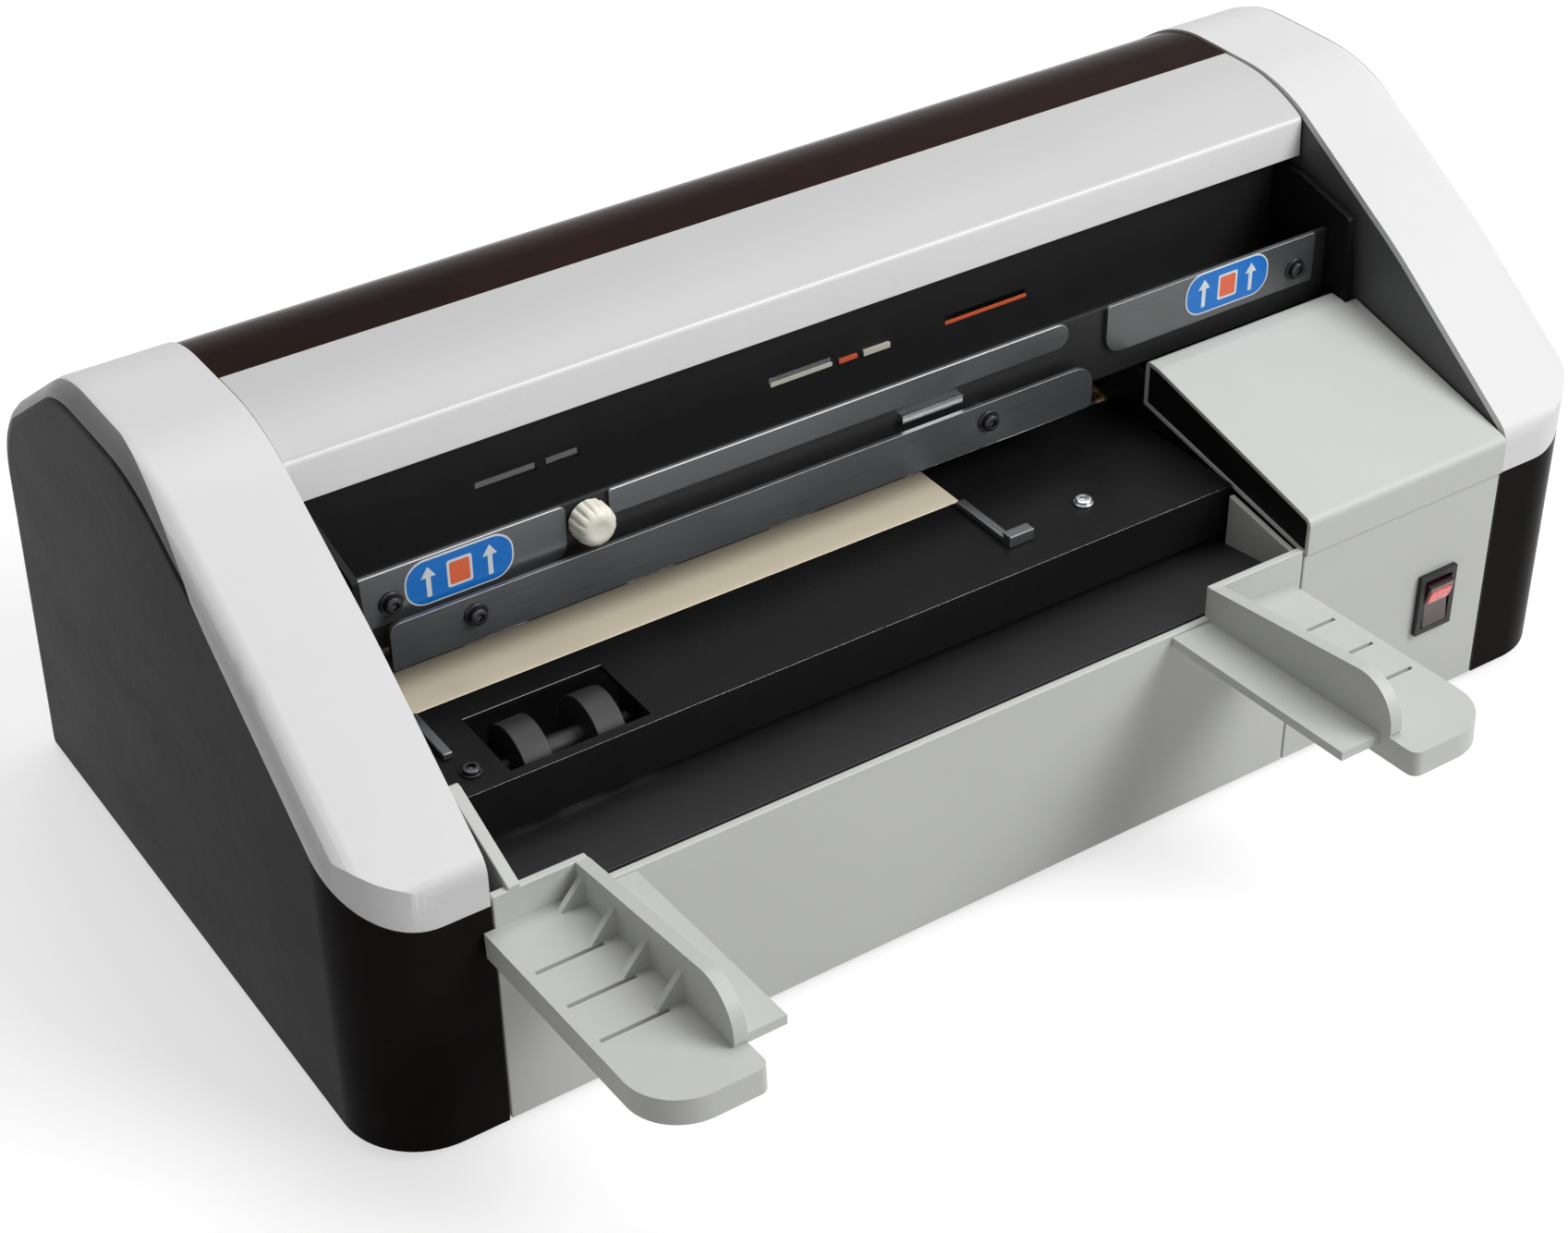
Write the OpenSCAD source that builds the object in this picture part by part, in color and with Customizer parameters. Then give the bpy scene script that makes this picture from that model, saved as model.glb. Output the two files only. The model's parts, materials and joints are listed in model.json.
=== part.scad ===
// Desktop business card cutter: a sheet goes in at the low slot and is chopped into rows, and each row
// goes in over the feed deck and is split into cards. Millimetres, +Z up, the front faces -Y.
// The modules place each piece from the front panel's foot; on_floor() then moves the origin to the middle
// of the whole footprint.

/* [Body] */
// Width over both side covers
overall_w = 434; // [426:2:450]
// Depth at the foot, front panel to rear panel
body_depth = 234; // [232:1:246]
// Height of the crown above the table
body_h = 169; // [167.5:0.5:173]
// Width of each side cover
cover_w = 38; // [35:1:42]
// Wall of the moulded covers
shell_t = 2.5; // [2:0.1:3]
// Height of the covers' lower edge above the table
cover_lift = 3.5; // [3:0.5:5]
// Radius of the side covers' front corners, seen from above
corner_r = 24; // [18:1:30]
// Radius of the side covers' rolled edge, between the side face and the top
roll_r = 7; // [5:0.5:9]
// Gap between neighbouring covers
seam = 0.6; // [0.4:0.1:1]

/* [Side profile] */
// Height where the front slope starts
lip_top_z = 94.5; // [93:0.5:96]
// Height of the white lip's face
lip_drop = 14; // [11:0.5:16]
// Depth at which the front slope reaches the crown
crown_front = 113; // [111:0.2:116]
// How far the middle of the front slope stands out from a straight line
slope_bulge = 3; // [2:0.2:4]
// How far ahead of the foot the crown ends
crown_to_rear = 68; // [66:0.5:70]
// Radius of the roof behind the crown and at the rear knee
roof_r = 42; // [36:1:48]
// How far the rear wall leans forward up to its knee
rear_lean = 10; // [9:0.2:11.6]
// Height of the rear knee
knee_z = 128; // [126:0.5:130]
// Outer edge of the white band at the back, from the side face
shoulder = 5; // [4:0.5:7]

/* [Lid] */
// Depth of the lid's front edge behind the front panel
lid_front_y = 102; // [101:0.5:104]
// Height of the lid's front lip
lid_lip_h = 13; // [11:0.5:14]
// Depth of the join between the light hood and the smoked window
window_y = 140; // [134:1:146]
// Wall of the lid
lid_t = 3; // [2.5:0.1:3.2]
// Height of the lid's rear edge
lid_rear_z = 110; // [109:0.5:111]
// Diameter of the lid's hinge pins
hinge_pin_d = 4; // [3.5:0.1:4.5]

/* [Frame] */
// Thickness of the steel plates
plate_t = 2; // [1.5:0.1:2.2]
// Gap between a side cover and the side frame next to it
frame_gap = 3; // [2.5:0.1:4]
// Left face of the drive box, to the right of the middle
box_x = 98; // [94:1:100]
// How far the side frames stay below the crown
frame_drop = 24.5; // [24:0.5:28]
// Diameter of the tie rods
tie_d = 8; // [6:0.5:10]
// Height of the rubber feet
foot_h = 6; // [5.5:0.5:7]
// Diameter of the rubber feet
foot_d = 20; // [16:1:24]

/* [Paper path] */
// Width of the sheet
sheet_w = 210; // [205:1:212]
// Play of the sheet between its two guides
sheet_play = 1.5; // [1:0.5:3]
// Middle of the sheet, to the left of the machine's middle
sheet_off = 44; // [42:1:46]
// Height of the sheet at the front panel
sheet_z = 74; // [73:0.5:75]
// Height of the front panel's top edge beside the sheet
panel_top_z = 83; // [81:0.5:84]
// Fall of the sheet behind the front panel, mm for each mm
sheet_fall = 0.15; // [0.14:0.005:0.155]
// Width of one card
card_w = 90; // [85:1:91]
// Height of one card, which is one turn of the sheet roller
card_h = 54; // [52:0.5:55]
// Height of the feed deck's top
deck_z = 88.5; // [88:0.5:89]
// Depth of the feed deck's front edge
deck_front_y = 33; // [31:0.5:34]
// Depth of the feed deck's rear edge
deck_rear_y = 73; // [71:0.5:74]

/* [Rollers and cutters] */
// Diameter of the feed shafts
feed_shaft_d = 8; // [7:0.5:8]
// Diameter of the splitter shafts
split_shaft_d = 10; // [9:0.5:10]
// Running clearance of a shaft in its bearing, on the radius
run = 0.05; // [0.03:0.01:0.08]
// Diameter of the row feed roller and of its pinch roller
row_roller_d = 16; // [15:0.2:16.4]
// Diameter of the splitter discs
disc_d = 20; // [19.6:0.1:20.4]
// Thickness of a splitter disc
disc_t = 1.2; // [1:0.1:1.6]
// Radius of the knife drum's cutting circle
knife_r = 13; // [12.5:0.1:13.2]
// Diameter of the sheet hold-down wheels
hold_d = 24; // [23:0.2:24.6]

/* [Gears] */
// Face width of the gears
gear_w = 8; // [6:0.5:9]
// Play between meshing teeth, along the pitch circle
backlash = 0.24; // [0.2:0.01:0.3]

/* [Guides] */
// How far the sheet guides' shelves reach ahead of the front panel
guide_reach = 88; // [80:1:95]
// How far the sheet guides' walls reach ahead of the front panel
guide_wall_reach = 76; // [70:1:80]
// Height of a sheet guide's wall above its shelf, at the panel
guide_wall_h = 10.5; // [9:0.5:12]
// Height of a sheet guide's wall above its shelf, at the front
guide_front_h = 17; // [15:0.5:18]
// Rise of the sheet guides towards the front, mm for each mm
guide_rise = 0.06; // [0.04:0.01:0.1]
// Thickness of a sheet guide's wall
guide_wall_t = 4; // [3:0.5:5]
// Width of a sheet guide, wall and shelf
guide_w = 32; // [28:1:34]
// Thickness of a sheet guide's shelf
guide_shelf_t = 8; // [6:0.5:9]

/* [Switch] */
// Width of the switch's bezel
switch_w = 15; // [13:0.5:17]
// Height of the switch's bezel
switch_h = 22; // [20:0.5:24]
// Height of the switch's middle
switch_z = 42; // [38:1:46]
// Distance of the switch's middle from the right side face
switch_in = 61; // [56:1:64]
// Swing of the rocker between off and on, in degrees
rocker_swing = 14; // [10:1:14]

/* [Hidden] */
$fn = 48;
fit_gap = 0.3;
half_w = overall_w / 2;
cover_in = half_w - cover_w;
frame_out = cover_in - frame_gap;
frame_in = frame_out - plate_t;
centre_half = cover_in - seam;
mid_in = box_x + plate_t + 0.2;
mid_out = mid_in + plate_t;
gear_x = mid_out + 2.5;
front_y = (guide_reach - body_depth) / 2;

// ---- outlines: corners are [y, z, radius], listed clockwise as seen from +X ----
function unit(v) = v / norm(v);
function inward(d) = [d[1], -d[0]];
function flat2(v) = [v[0], v[1]];
function turned(v, a) = [v[0] * cos(a) - v[1] * sin(a), v[0] * sin(a) + v[1] * cos(a)];
function side_in(c, i) = inward(unit(flat2(c[i]) - flat2(c[(i + len(c) - 1) % len(c)])));
function side_out(c, i) = inward(unit(flat2(c[(i + 1) % len(c)]) - flat2(c[i])));
function shifted(c, i, t) =
    flat2(c[i]) + t * (side_in(c, i) + side_out(c, i)) / (1 + side_in(c, i) * side_out(c, i));
function inset(c, t) = [
    for (i = [0 : len(c) - 1]) [shifted(c, i, t)[0], shifted(c, i, t)[1], max(0.2, c[i][2] - t)]
];
function turn_angle(a, b) = atan2(a[0] * b[1] - a[1] * b[0], a * b);
function arc_steps(a, r) = max(2, ceil(abs(a) * sqrt(r) / 22));
function rounded(c) = [
    for (i = [0 : len(c) - 1])
        let (
            a = turn_angle(side_in(c, i), side_out(c, i)),
            bend = a < 0 ? c[i][2] : -c[i][2],
            middle = shifted(c, i, bend),
            steps = arc_steps(a, c[i][2])
        )
        for (k = [0 : steps]) middle - bend * turned(side_in(c, i), a * k / steps)
];

// The profile runs on below the covers' lower edge, which cover_plan() cuts
cover_sink = cover_lift - roll_r - 2;
slope = [crown_front, body_h - lip_top_z];
slope_middle = [0, lip_top_z] + slope / 2 + slope_bulge * [-slope[1], slope[0]] / norm(slope);
profile = [
    [0, cover_sink, 0.2],
    [0, lip_top_z, 8],
    [slope_middle[0], slope_middle[1], 200],
    [crown_front, body_h, 60],
    [body_depth - crown_to_rear, body_h, roof_r],
    [body_depth - rear_lean, knee_z, roof_r],
    [rear_y(cover_sink), cover_sink, 0.2]
];

function path_z(y) = sheet_z - sheet_fall * y;

// ---- shafts: [y, z] in the side view ----
sheet_roller_r = card_h / PI / 2;
nip = 0.1;
sheet_shaft_y = 50;
knife_y = 150;
sheet_shaft = [sheet_shaft_y, path_z(sheet_shaft_y) - sheet_roller_r - nip];
hold_shaft = [sheet_shaft_y, path_z(sheet_shaft_y) + hold_d / 2 + nip];
row_z = deck_z + 1.5;
row_shaft = [102, row_z - row_roller_d / 2 - nip];
pinch_shaft = [102, row_z + row_roller_d / 2 + nip];
split_pitch = 19;
split_low = [127, row_z + 1 - split_pitch / 2];
split_up = [127, row_z + 1 + split_pitch / 2];
knife_shaft = [knife_y, path_z(knife_y) - knife_r - 0.2];

// ---- gears, tooth size 1 mm; teeth of each ----
gear_m = 1;
sheet_teeth = 22;
knife_teeth = 22;
row_teeth = 18;
split_teeth = 19;
motor_teeth = 14;
front_idler_teeth = 42;
row_idler_teeth = 18;
rear_idler_teeth = 30;

function pitch_r(teeth) = teeth * gear_m / 2;
// Centre of a gear that meshes with two others, on the right of the line from a to b
function idler_at(a, ra, b, rb, r) =
    let (
        d = norm(b - a),
        u = (b - a) / d,
        x = (d * d + pow(ra + r, 2) - pow(rb + r, 2)) / (2 * d),
        h = sqrt(pow(ra + r, 2) - x * x)
    )
    a + x * u + h * [u[1], -u[0]];
front_idler = idler_at(sheet_shaft, pitch_r(sheet_teeth), row_shaft, pitch_r(row_teeth),
    pitch_r(front_idler_teeth));
row_idler = idler_at(row_shaft, pitch_r(row_teeth), split_low, pitch_r(split_teeth),
    pitch_r(row_idler_teeth));
rear_idler = idler_at(knife_shaft, pitch_r(knife_teeth), split_low, pitch_r(split_teeth),
    pitch_r(rear_idler_teeth));
motor_angle = -100;
motor_shaft = sheet_shaft
    + (pitch_r(sheet_teeth) + pitch_r(motor_teeth)) * [cos(motor_angle), sin(motor_angle)];

// Turn of gear b that puts a gap against the tooth of gear a
function heading(a, b) = atan2(b[1] - a[1], b[0] - a[0]);
function meshed(a, turn_a, teeth_a, b, teeth_b) =
    heading(a, b) + 180 - (0.5 - teeth_a * (heading(a, b) - turn_a) / 360) * 360 / teeth_b;
split_low_turn = 0;
split_up_turn = meshed(split_low, split_low_turn, split_teeth, split_up, split_teeth);
row_idler_turn = meshed(split_low, split_low_turn, split_teeth, row_idler, row_idler_teeth);
row_turn = meshed(row_idler, row_idler_turn, row_idler_teeth, row_shaft, row_teeth);
front_idler_turn = meshed(row_shaft, row_turn, row_teeth, front_idler, front_idler_teeth);
sheet_turn = meshed(front_idler, front_idler_turn, front_idler_teeth, sheet_shaft, sheet_teeth);
motor_turn = meshed(sheet_shaft, sheet_turn, sheet_teeth, motor_shaft, motor_teeth);
rear_idler_turn = meshed(split_low, split_low_turn, split_teeth, rear_idler, rear_idler_teeth);
knife_turn = meshed(rear_idler, rear_idler_turn, rear_idler_teeth, knife_shaft, knife_teeth);

// ---- helpers ----
module on_floor() {
    translate([0, front_y, 0]) children();
}
module along_x(x0, x1) {
    translate([x0, 0, 0]) rotate([90, 0, 90]) linear_extrude(x1 - x0) children();
}
module outline_x(x0, x1, corners) {
    along_x(x0, x1) polygon(rounded(corners));
}
module rod_x(x0, x1, at, d) {
    translate([x0, at[0], at[1]]) rotate([0, 90, 0]) cylinder(h = x1 - x0, d = d);
}
module rod_y(y0, y1, x, z, d) {
    translate([x, y1, z]) rotate([90, 0, 0]) cylinder(h = y1 - y0, d = d);
}
module block(lo, hi) {
    translate(lo) cube(hi - lo);
}
module both_sides() {
    children();
    mirror([1, 0, 0]) children();
}
module on_side(s) {
    if (s < 0) mirror([1, 0, 0]) children();
    else children();
}
// A plate that lies along the sheet's path, its top a set depth under the paper
module path_plate(x0, x1, y0, y1, under, t) {
    along_x(x0, x1) polygon([
        [y0, path_z(y0) - under],
        [y1, path_z(y1) - under],
        [y1, path_z(y1) - under - t],
        [y0, path_z(y0) - under - t]
    ]);
}

// ---- side covers ----
// Plan of a side cover, drawn in by t from its outer face
module cover_plan(t) {
    r = corner_r - t;
    difference() {
        block([cover_in - 1, t, cover_lift + t], [half_w - t, body_depth + 1, body_h + 1]);
        translate([half_w - t - r, t, -2]) difference() {
            translate([0, -1, 0]) cube([r + 1, r + 1, body_h + 4]);
            translate([0, r, -1]) cylinder(h = body_h + 6, r = r, $fn = 96);
        }
    }
}
// The side profile, drawn in more and more over the rolled edge; x0 is the inner end
roll_steps = 4;
module cover_roll(t, x0) {
    r = roll_r - t;
    hull() {
        outline_x(x0, half_w - roll_r, inset(profile, t));
        for (a = [90 / roll_steps : 90 / roll_steps : 90])
            outline_x(half_w - roll_r, half_w - roll_r + r * sin(a), inset(profile, t + r * (1 - cos(a))));
    }
}
module cover_form(t, x0) {
    intersection() {
        cover_roll(t, x0);
        cover_plan(t);
    }
}
// Where the white band lies: over the top, as far out as the shoulder, and round the front corner
band_low_z = lip_top_z - lip_drop;
band_wrap_y = 60;
band_taper_y = 128;
band_side = roll_r + 2;
band_straight_y = 100;
band_rise = slope[1] / slope[0] + 0.11;
module band_zone(grow) {
    difference() {
        translate([0, 0, band_low_z - grow]) linear_extrude(body_h) polygon([
            [cover_in - 2, -2],
            [half_w + 2, -2],
            [half_w + 2, band_wrap_y],
            [half_w - shoulder + grow, band_taper_y],
            [half_w - shoulder + grow, body_depth + 2],
            [cover_in - 2, body_depth + 2]
        ]);
        // lower edge round the front corner and up the side face, closing in on the slope
        along_x(half_w - corner_r, half_w + 2) polygon([
            [-2, 0],
            [-2, band_low_z - grow - 2 * band_rise],
            [band_straight_y, band_low_z - grow + band_straight_y * band_rise],
            [band_straight_y, 0]
        ]);
        // behind it the band is only a rolled edge
        intersection() {
            outline_x(half_w - corner_r, half_w + 2, inset(profile, band_side + grow));
            block([half_w - corner_r - 1, band_straight_y - 1, 0], [half_w + 2, body_depth, body_h]);
        }
    }
}
cover_posts = [[34, 34], [120, 118], [196, 44]];
module side_shell(s) {
    color("#1b1a1a") on_floor() on_side(s) difference() {
        cover_form(0, cover_in);
        difference() {
            cover_form(shell_t, cover_in - 1);
            // inner wall, only beside the recess
            intersection() {
                block([cover_in, 0, 0], [cover_in + 2, lid_front_y + 12, body_h]);
                cover_form(0, cover_in);
            }
        }
        intersection() {
            band_zone(0.1);
            difference() {
                cover_form(-1, cover_in - 1);
                cover_form(shell_t, cover_in - 2);
            }
        }
    }
    color("#1b1a1a") on_floor() on_side(s) for (p = cover_posts)
        rod_x(frame_out, half_w - shell_t, p, 10);
}
module left_side_shell() {
    side_shell(-1);
}
module right_side_shell() {
    side_shell(1);
}
module side_band(s) {
    color("#dfe0df") on_floor() on_side(s) intersection() {
        difference() {
            cover_form(0, cover_in);
            cover_form(shell_t - 0.1, cover_in - 1);
        }
        band_zone(0);
    }
}
module left_band() {
    side_band(-1);
}
module right_band() {
    side_band(1);
}

// ---- frame ----
base_z = foot_h + 2;
frame_rear_y = body_depth - 16;
axis_y = body_depth - 19;
axis_z = lid_rear_z + 3;
frame_top_z = body_h - frame_drop;
frame_corners = [
    [9, base_z, 2],
    [9, 72, 4],
    [36, deck_z - 2, 2],
    [70, deck_z - 2, 2],
    [70, 118, 2],
    [72, frame_top_z - 6, 2],
    [96, frame_top_z, 2],
    [174, frame_top_z, 12],
    [axis_y - 4, axis_z + 8, 4],
    [axis_y + 3, axis_z + 6, 3],
    [axis_y + 2, axis_z - 8, 2],
    [frame_rear_y, 70, 6],
    [frame_rear_y, base_z, 2]
];
low_rods = [[22, 26], [196, 20]];
high_rod = [190, frame_top_z - 15];
tie_rods_at = concat(low_rods, [high_rod]);
bearing_seats = [
    concat(sheet_shaft, feed_shaft_d),
    concat(row_shaft, feed_shaft_d),
    concat(pinch_shaft, 5),
    concat(split_low, split_shaft_d),
    concat(split_up, split_shaft_d),
    concat(knife_shaft, feed_shaft_d)
];
bearing_wall = 2;
bearing_fit = 0.05;
module shaft_holes(x0, x1) {
    for (b = bearing_seats)
        rod_x(x0, x1, b, b[2] + 2 * run + 2 * bearing_wall + 2 * bearing_fit);
    for (p = tie_rods_at)
        rod_x(x0, x1, p, 4.2);
}
module frame_plate(x0, x1, corners) {
    difference() {
        outline_x(x0, x1, corners);
        shaft_holes(x0 - 1, x1 + 1);
    }
}
module base_plate() {
    color("#8f9394") on_floor() difference() {
        block([-frame_out, 9, foot_h], [frame_out, frame_rear_y, base_z]);
        for (p = foot_spots)
            translate([p[0], p[1], foot_h - 1]) cylinder(h = 4, d = 4.4);
    }
}
module left_frame() {
    color("#26282a") on_floor() difference() {
        frame_plate(-frame_out, -frame_in, frame_corners);
        rod_x(-frame_out - 1, -frame_in + 1, [axis_y, axis_z], hinge_pin_d + 0.1);
    }
}
mid_corners = [
    [9, base_z, 2],
    [9, 72, 4],
    [14, 90, 3],
    [72, 101, 3],
    [86, 104, 3],
    [94, 110, 3],
    [196, 110, 8],
    [200, 90, 8],
    [212, 60, 6],
    [212, base_z, 2]
];
stud_d = 5;
module mid_frame() {
    color("#2b2d2f") on_floor() {
        difference() {
            frame_plate(mid_in, mid_out, mid_corners);
            rod_x(mid_in - 1, mid_out + 1, motor_shaft, 12);
        }
        for (p = [front_idler, row_idler, rear_idler])
            rod_x(mid_out - 0.5, gear_x + gear_w + 1, p, stud_d);
        for (p = [front_idler, row_idler, rear_idler])
            rod_x(mid_out - 0.5, gear_x - 0.5, p, stud_d + 3);
    }
}
module right_frame() {
    color("#26282a") on_floor() difference() {
        outline_x(frame_in, frame_out, frame_corners);
        for (p = tie_rods_at)
            rod_x(frame_in - 1, frame_out + 1, p, 4.2);
        rod_x(frame_in - 1, frame_out + 1, [axis_y, axis_z], hinge_pin_d + 0.1);
        rod_x(frame_in - 1, frame_out + 1, motor_shaft, 3.2);
    }
}
tie_end_d = 4;
module tie_rods() {
    color("#b9bcbe") on_floor() {
        for (p = low_rods) {
            rod_x(-frame_in, mid_in, p, tie_d);
            rod_x(mid_out, frame_in, p, tie_d);
        }
        rod_x(-frame_in, frame_in, high_rod, tie_d);
        for (p = tie_rods_at)
            rod_x(-frame_out, frame_out, p, tie_end_d);
    }
}
foot_in = 16;
foot_spots = [
    for (x = [-1, 1], y = [9 + foot_in, frame_rear_y - foot_in]) [x * (frame_out - foot_in), y]
];
module feet() {
    color("#161616") on_floor() for (p = foot_spots) {
        translate([p[0], p[1], 0]) cylinder(h = foot_h, d = foot_d);
        translate([p[0], p[1], 0]) cylinder(h = base_z, d = 4);
    }
}

// ---- front, box and rear panels ----
cheek_t = 4;
cheek_y = deck_front_y - 1;
module front_panel() {
    color("#c3c7c3") on_floor() {
        difference() {
            block([-centre_half, 0, cover_lift], [box_x - seam, shell_t, panel_top_z]);
            // mouth for the sheet, between the two guides
            block([guide_left_x, -1, sheet_z - 1.6], [guide_right_x, shell_t + 1, panel_top_z + 1]);
        }
        // cheek at the left frame
        along_x(-frame_in + 0.2, -frame_in + cheek_t) polygon([
            [0, panel_top_z - 24],
            [0, panel_top_z + 1],
            [cheek_y - 2, panel_top_z + 13],
            [cheek_y, panel_top_z + 13],
            [cheek_y, panel_top_z - 24]
        ]);
        // short cheek at the drive box
        along_x(box_x - seam - 2, box_x - seam) polygon([
            [0, cover_lift],
            [0, panel_top_z - 2],
            [8, panel_top_z - 1],
            [cheek_y, panel_top_z + 3],
            [cheek_y, panel_top_z - 30],
            [8, panel_top_z - 36],
            [8, cover_lift]
        ]);
    }
}
box_lip_z = 81;
box_slope = 0.24;
box_top_z = 93.5;
box_rear_y = 77;
box_corners = [
    [-1, box_lip_z, 0.5],
    [-1, box_top_z, 3],
    [box_rear_y - 6, box_top_z + box_slope * (box_rear_y - 6), 6],
    [box_rear_y, box_top_z + box_slope * box_rear_y - 1, 2],
    [box_rear_y, box_lip_z + 14, 0.5],
    [shell_t, box_lip_z, 0.5]
];
box_rim = 1.5;
module box_hood() {
    color("#d5d7d5") on_floor() difference() {
        outline_x(box_x, centre_half, box_corners);
        outline_x(box_x - 1, box_x + plate_t, inset(box_corners, box_rim));
        outline_x(box_x + plate_t, centre_half + 1, [
            [-1 + shell_t, box_lip_z - 9, 0.5],
            [-1 + shell_t, box_top_z - shell_t, 1],
            [box_rear_y - 6, box_top_z + box_slope * (box_rear_y - 6) - shell_t, 4],
            [box_rear_y - shell_t, box_top_z + box_slope * box_rear_y - 1 - shell_t, 1],
            [box_rear_y - shell_t, box_lip_z - 9, 0.5]
        ]);
        // under the rear fold, and round the right frame
        block([box_x + plate_t, box_rear_y - shell_t - 1, 0],
            [half_w, box_rear_y + 1, box_top_z + box_slope * box_rear_y - 6]);
        block([frame_in - fit_gap, 69.5, 0], [half_w, box_rear_y + 1, body_h]);
    }
}
module box_side_plate() {
    color("#2b2d2f") on_floor()
        outline_x(box_x + 0.4, box_x + plate_t, inset(box_corners, box_rim + 0.1));
}
switch_x = half_w - switch_in;
module switch_panel() {
    color("#bfc3bd") on_floor() difference() {
        block([box_x, 0, cover_lift], [centre_half, shell_t, box_lip_z - seam]);
        block([switch_x - switch_w / 2 + 1, -1, switch_z - switch_h / 2 + 1],
            [switch_x + switch_w / 2 - 1, shell_t + 1, switch_z + switch_h / 2 - 1]);
    }
}
// Rear wall's outer face at height z
function rear_y(z) = body_depth - rear_lean * (z - cover_lift) / (knee_z - cover_lift);
rear_top_z = 104.5;
row_slot = [36, 48];
card_slot = [72, 88];
inlet_x = (mid_out + frame_in) / 2;
inlet_z = 32;
inlet_size = [28, 20];
vents = 6;
vent_w = 4;
vent_z = [60, 92];
module rear_panel() {
    color("#c9ccc9") on_floor() difference() {
        along_x(-centre_half, centre_half) polygon([
            [rear_y(cover_lift), cover_lift],
            [rear_y(cover_lift) - shell_t, cover_lift],
            [rear_y(rear_top_z) - shell_t, rear_top_z],
            [rear_y(rear_top_z), rear_top_z]
        ]);
        for (slot = [row_slot, card_slot])
            block([-frame_in + 2, body_depth - 30, slot[0]], [box_x - 2, body_depth + 5, slot[1]]);
        block([inlet_x - inlet_size[0] / 2, body_depth - 30, inlet_z - inlet_size[1] / 2],
            [inlet_x + inlet_size[0] / 2, body_depth + 5, inlet_z + inlet_size[1] / 2]);
        for (i = [0 : vents - 1])
            block([inlet_x - 22 + 2 * vent_w * i, body_depth - 30, vent_z[0]],
                [inlet_x - 22 + vent_w * (2 * i + 1), body_depth + 5, vent_z[1]]);
    }
}

// ---- lid ----
lid_crease_z = lip_top_z + lid_front_y * slope[1] / slope[0] - 1.2;
lid_lip_z = lid_crease_z - lid_lip_h;
lid_corners = [
    [lid_front_y - 4, lid_rear_z - 30, 0.5],
    [lid_front_y, lid_crease_z, 2.5],
    [crown_front + 4, body_h - 0.6, 60],
    [body_depth - crown_to_rear - 0.4, body_h - 0.6, roof_r],
    [body_depth - rear_lean - 0.6, knee_z, roof_r],
    [rear_y(lid_rear_z - 30) - 0.6, lid_rear_z - 30, 0.5]
];
module lid_shell() {
    difference() {
        outline_x(-centre_half, centre_half, lid_corners);
        outline_x(-centre_half - 1, centre_half + 1, inset(lid_corners, lid_t));
        block([-half_w, 0, 0], [half_w, lid_front_y + 40, lid_lip_z]);
        block([-half_w, lid_front_y + 30, 0], [half_w, body_depth + 5, lid_rear_z]);
    }
}
module hood() {
    color("#dcdddc") on_floor() {
        intersection() {
            lid_shell();
            block([-half_w, 0, 0], [half_w, window_y, body_h + 5]);
        }
        // lap under the window
        intersection() {
            outline_x(-centre_half + 4, centre_half - 4, inset(lid_corners, lid_t));
            block([-half_w, window_y - 8, body_h - lid_t - 3], [half_w, window_y + 8, body_h]);
        }
        // rests on the side frames
        both_sides() intersection() {
            block([frame_in, window_y - 20, frame_top_z + fit_gap], [frame_out, window_y, body_h]);
            outline_x(frame_in, frame_out, inset(lid_corners, lid_t - 0.5));
        }
    }
}
lug_t = 4;
lug_x = frame_in - 0.5;
module smoked_window() {
    color("#3a2a26") on_floor() difference() {
        union() {
            intersection() {
                lid_shell();
                block([-half_w, window_y, 0], [half_w, body_depth + 5, body_h + 5]);
            }
            both_sides() outline_x(lug_x - lug_t, lug_x, [
                [axis_y - 6, axis_z - 5, 5],
                [axis_y - 6, axis_z + 18, 2],
                [axis_y + 2, axis_z + 18, 2],
                [axis_y + 8, axis_z + 8, 1],
                [axis_y + 8, axis_z, 1],
                [axis_y + 4, axis_z - 5, 3]
            ]);
        }
        both_sides() rod_x(lug_x - lug_t - 1, lug_x + 1, [axis_y, axis_z], hinge_pin_d + 2 * run);
        // corner notches over the frames' hinge bosses
        both_sides() block([lug_x + 0.1, axis_y - 10, lid_rear_z - 1],
            [half_w, body_depth + 2, axis_z + 9]);
    }
}
module hood_hinge_pins() {
    color("#c4c7c9") on_floor() both_sides() {
        rod_x(lug_x - lug_t - 1, frame_out, [axis_y, axis_z], hinge_pin_d);
        rod_x(frame_out, frame_out + 1.5, [axis_y, axis_z], hinge_pin_d + 3);
    }
}

// ---- recess: bar, guard, inner cover, deck ----
bar_y = 80;
bar_top_z = 132.5;
bar_t = 1.5;
tab_low_z = 115.5;
mid_low_z = 124;
knob_x = -frame_in + 74;
left_tab_x = [-frame_in + 0.5, knob_x - 7];
right_tab_x = [frame_in - 90, frame_in - 6];
mid_bar_x = [knob_x + 7, right_tab_x[0] - 15];
guard_y = 76;
guard_z = [102.5, 117.5];
guard_x = [-frame_in + 9, box_x - 22];
shelf_z = 112;
inner_wall_y = 110;
inner_top_z = lid_lip_z - 3.75;
// long slots: start from the left frame, and length
inner_slots = [[54, 20], [77, 11], [153, 23], [217, 32]];

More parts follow.
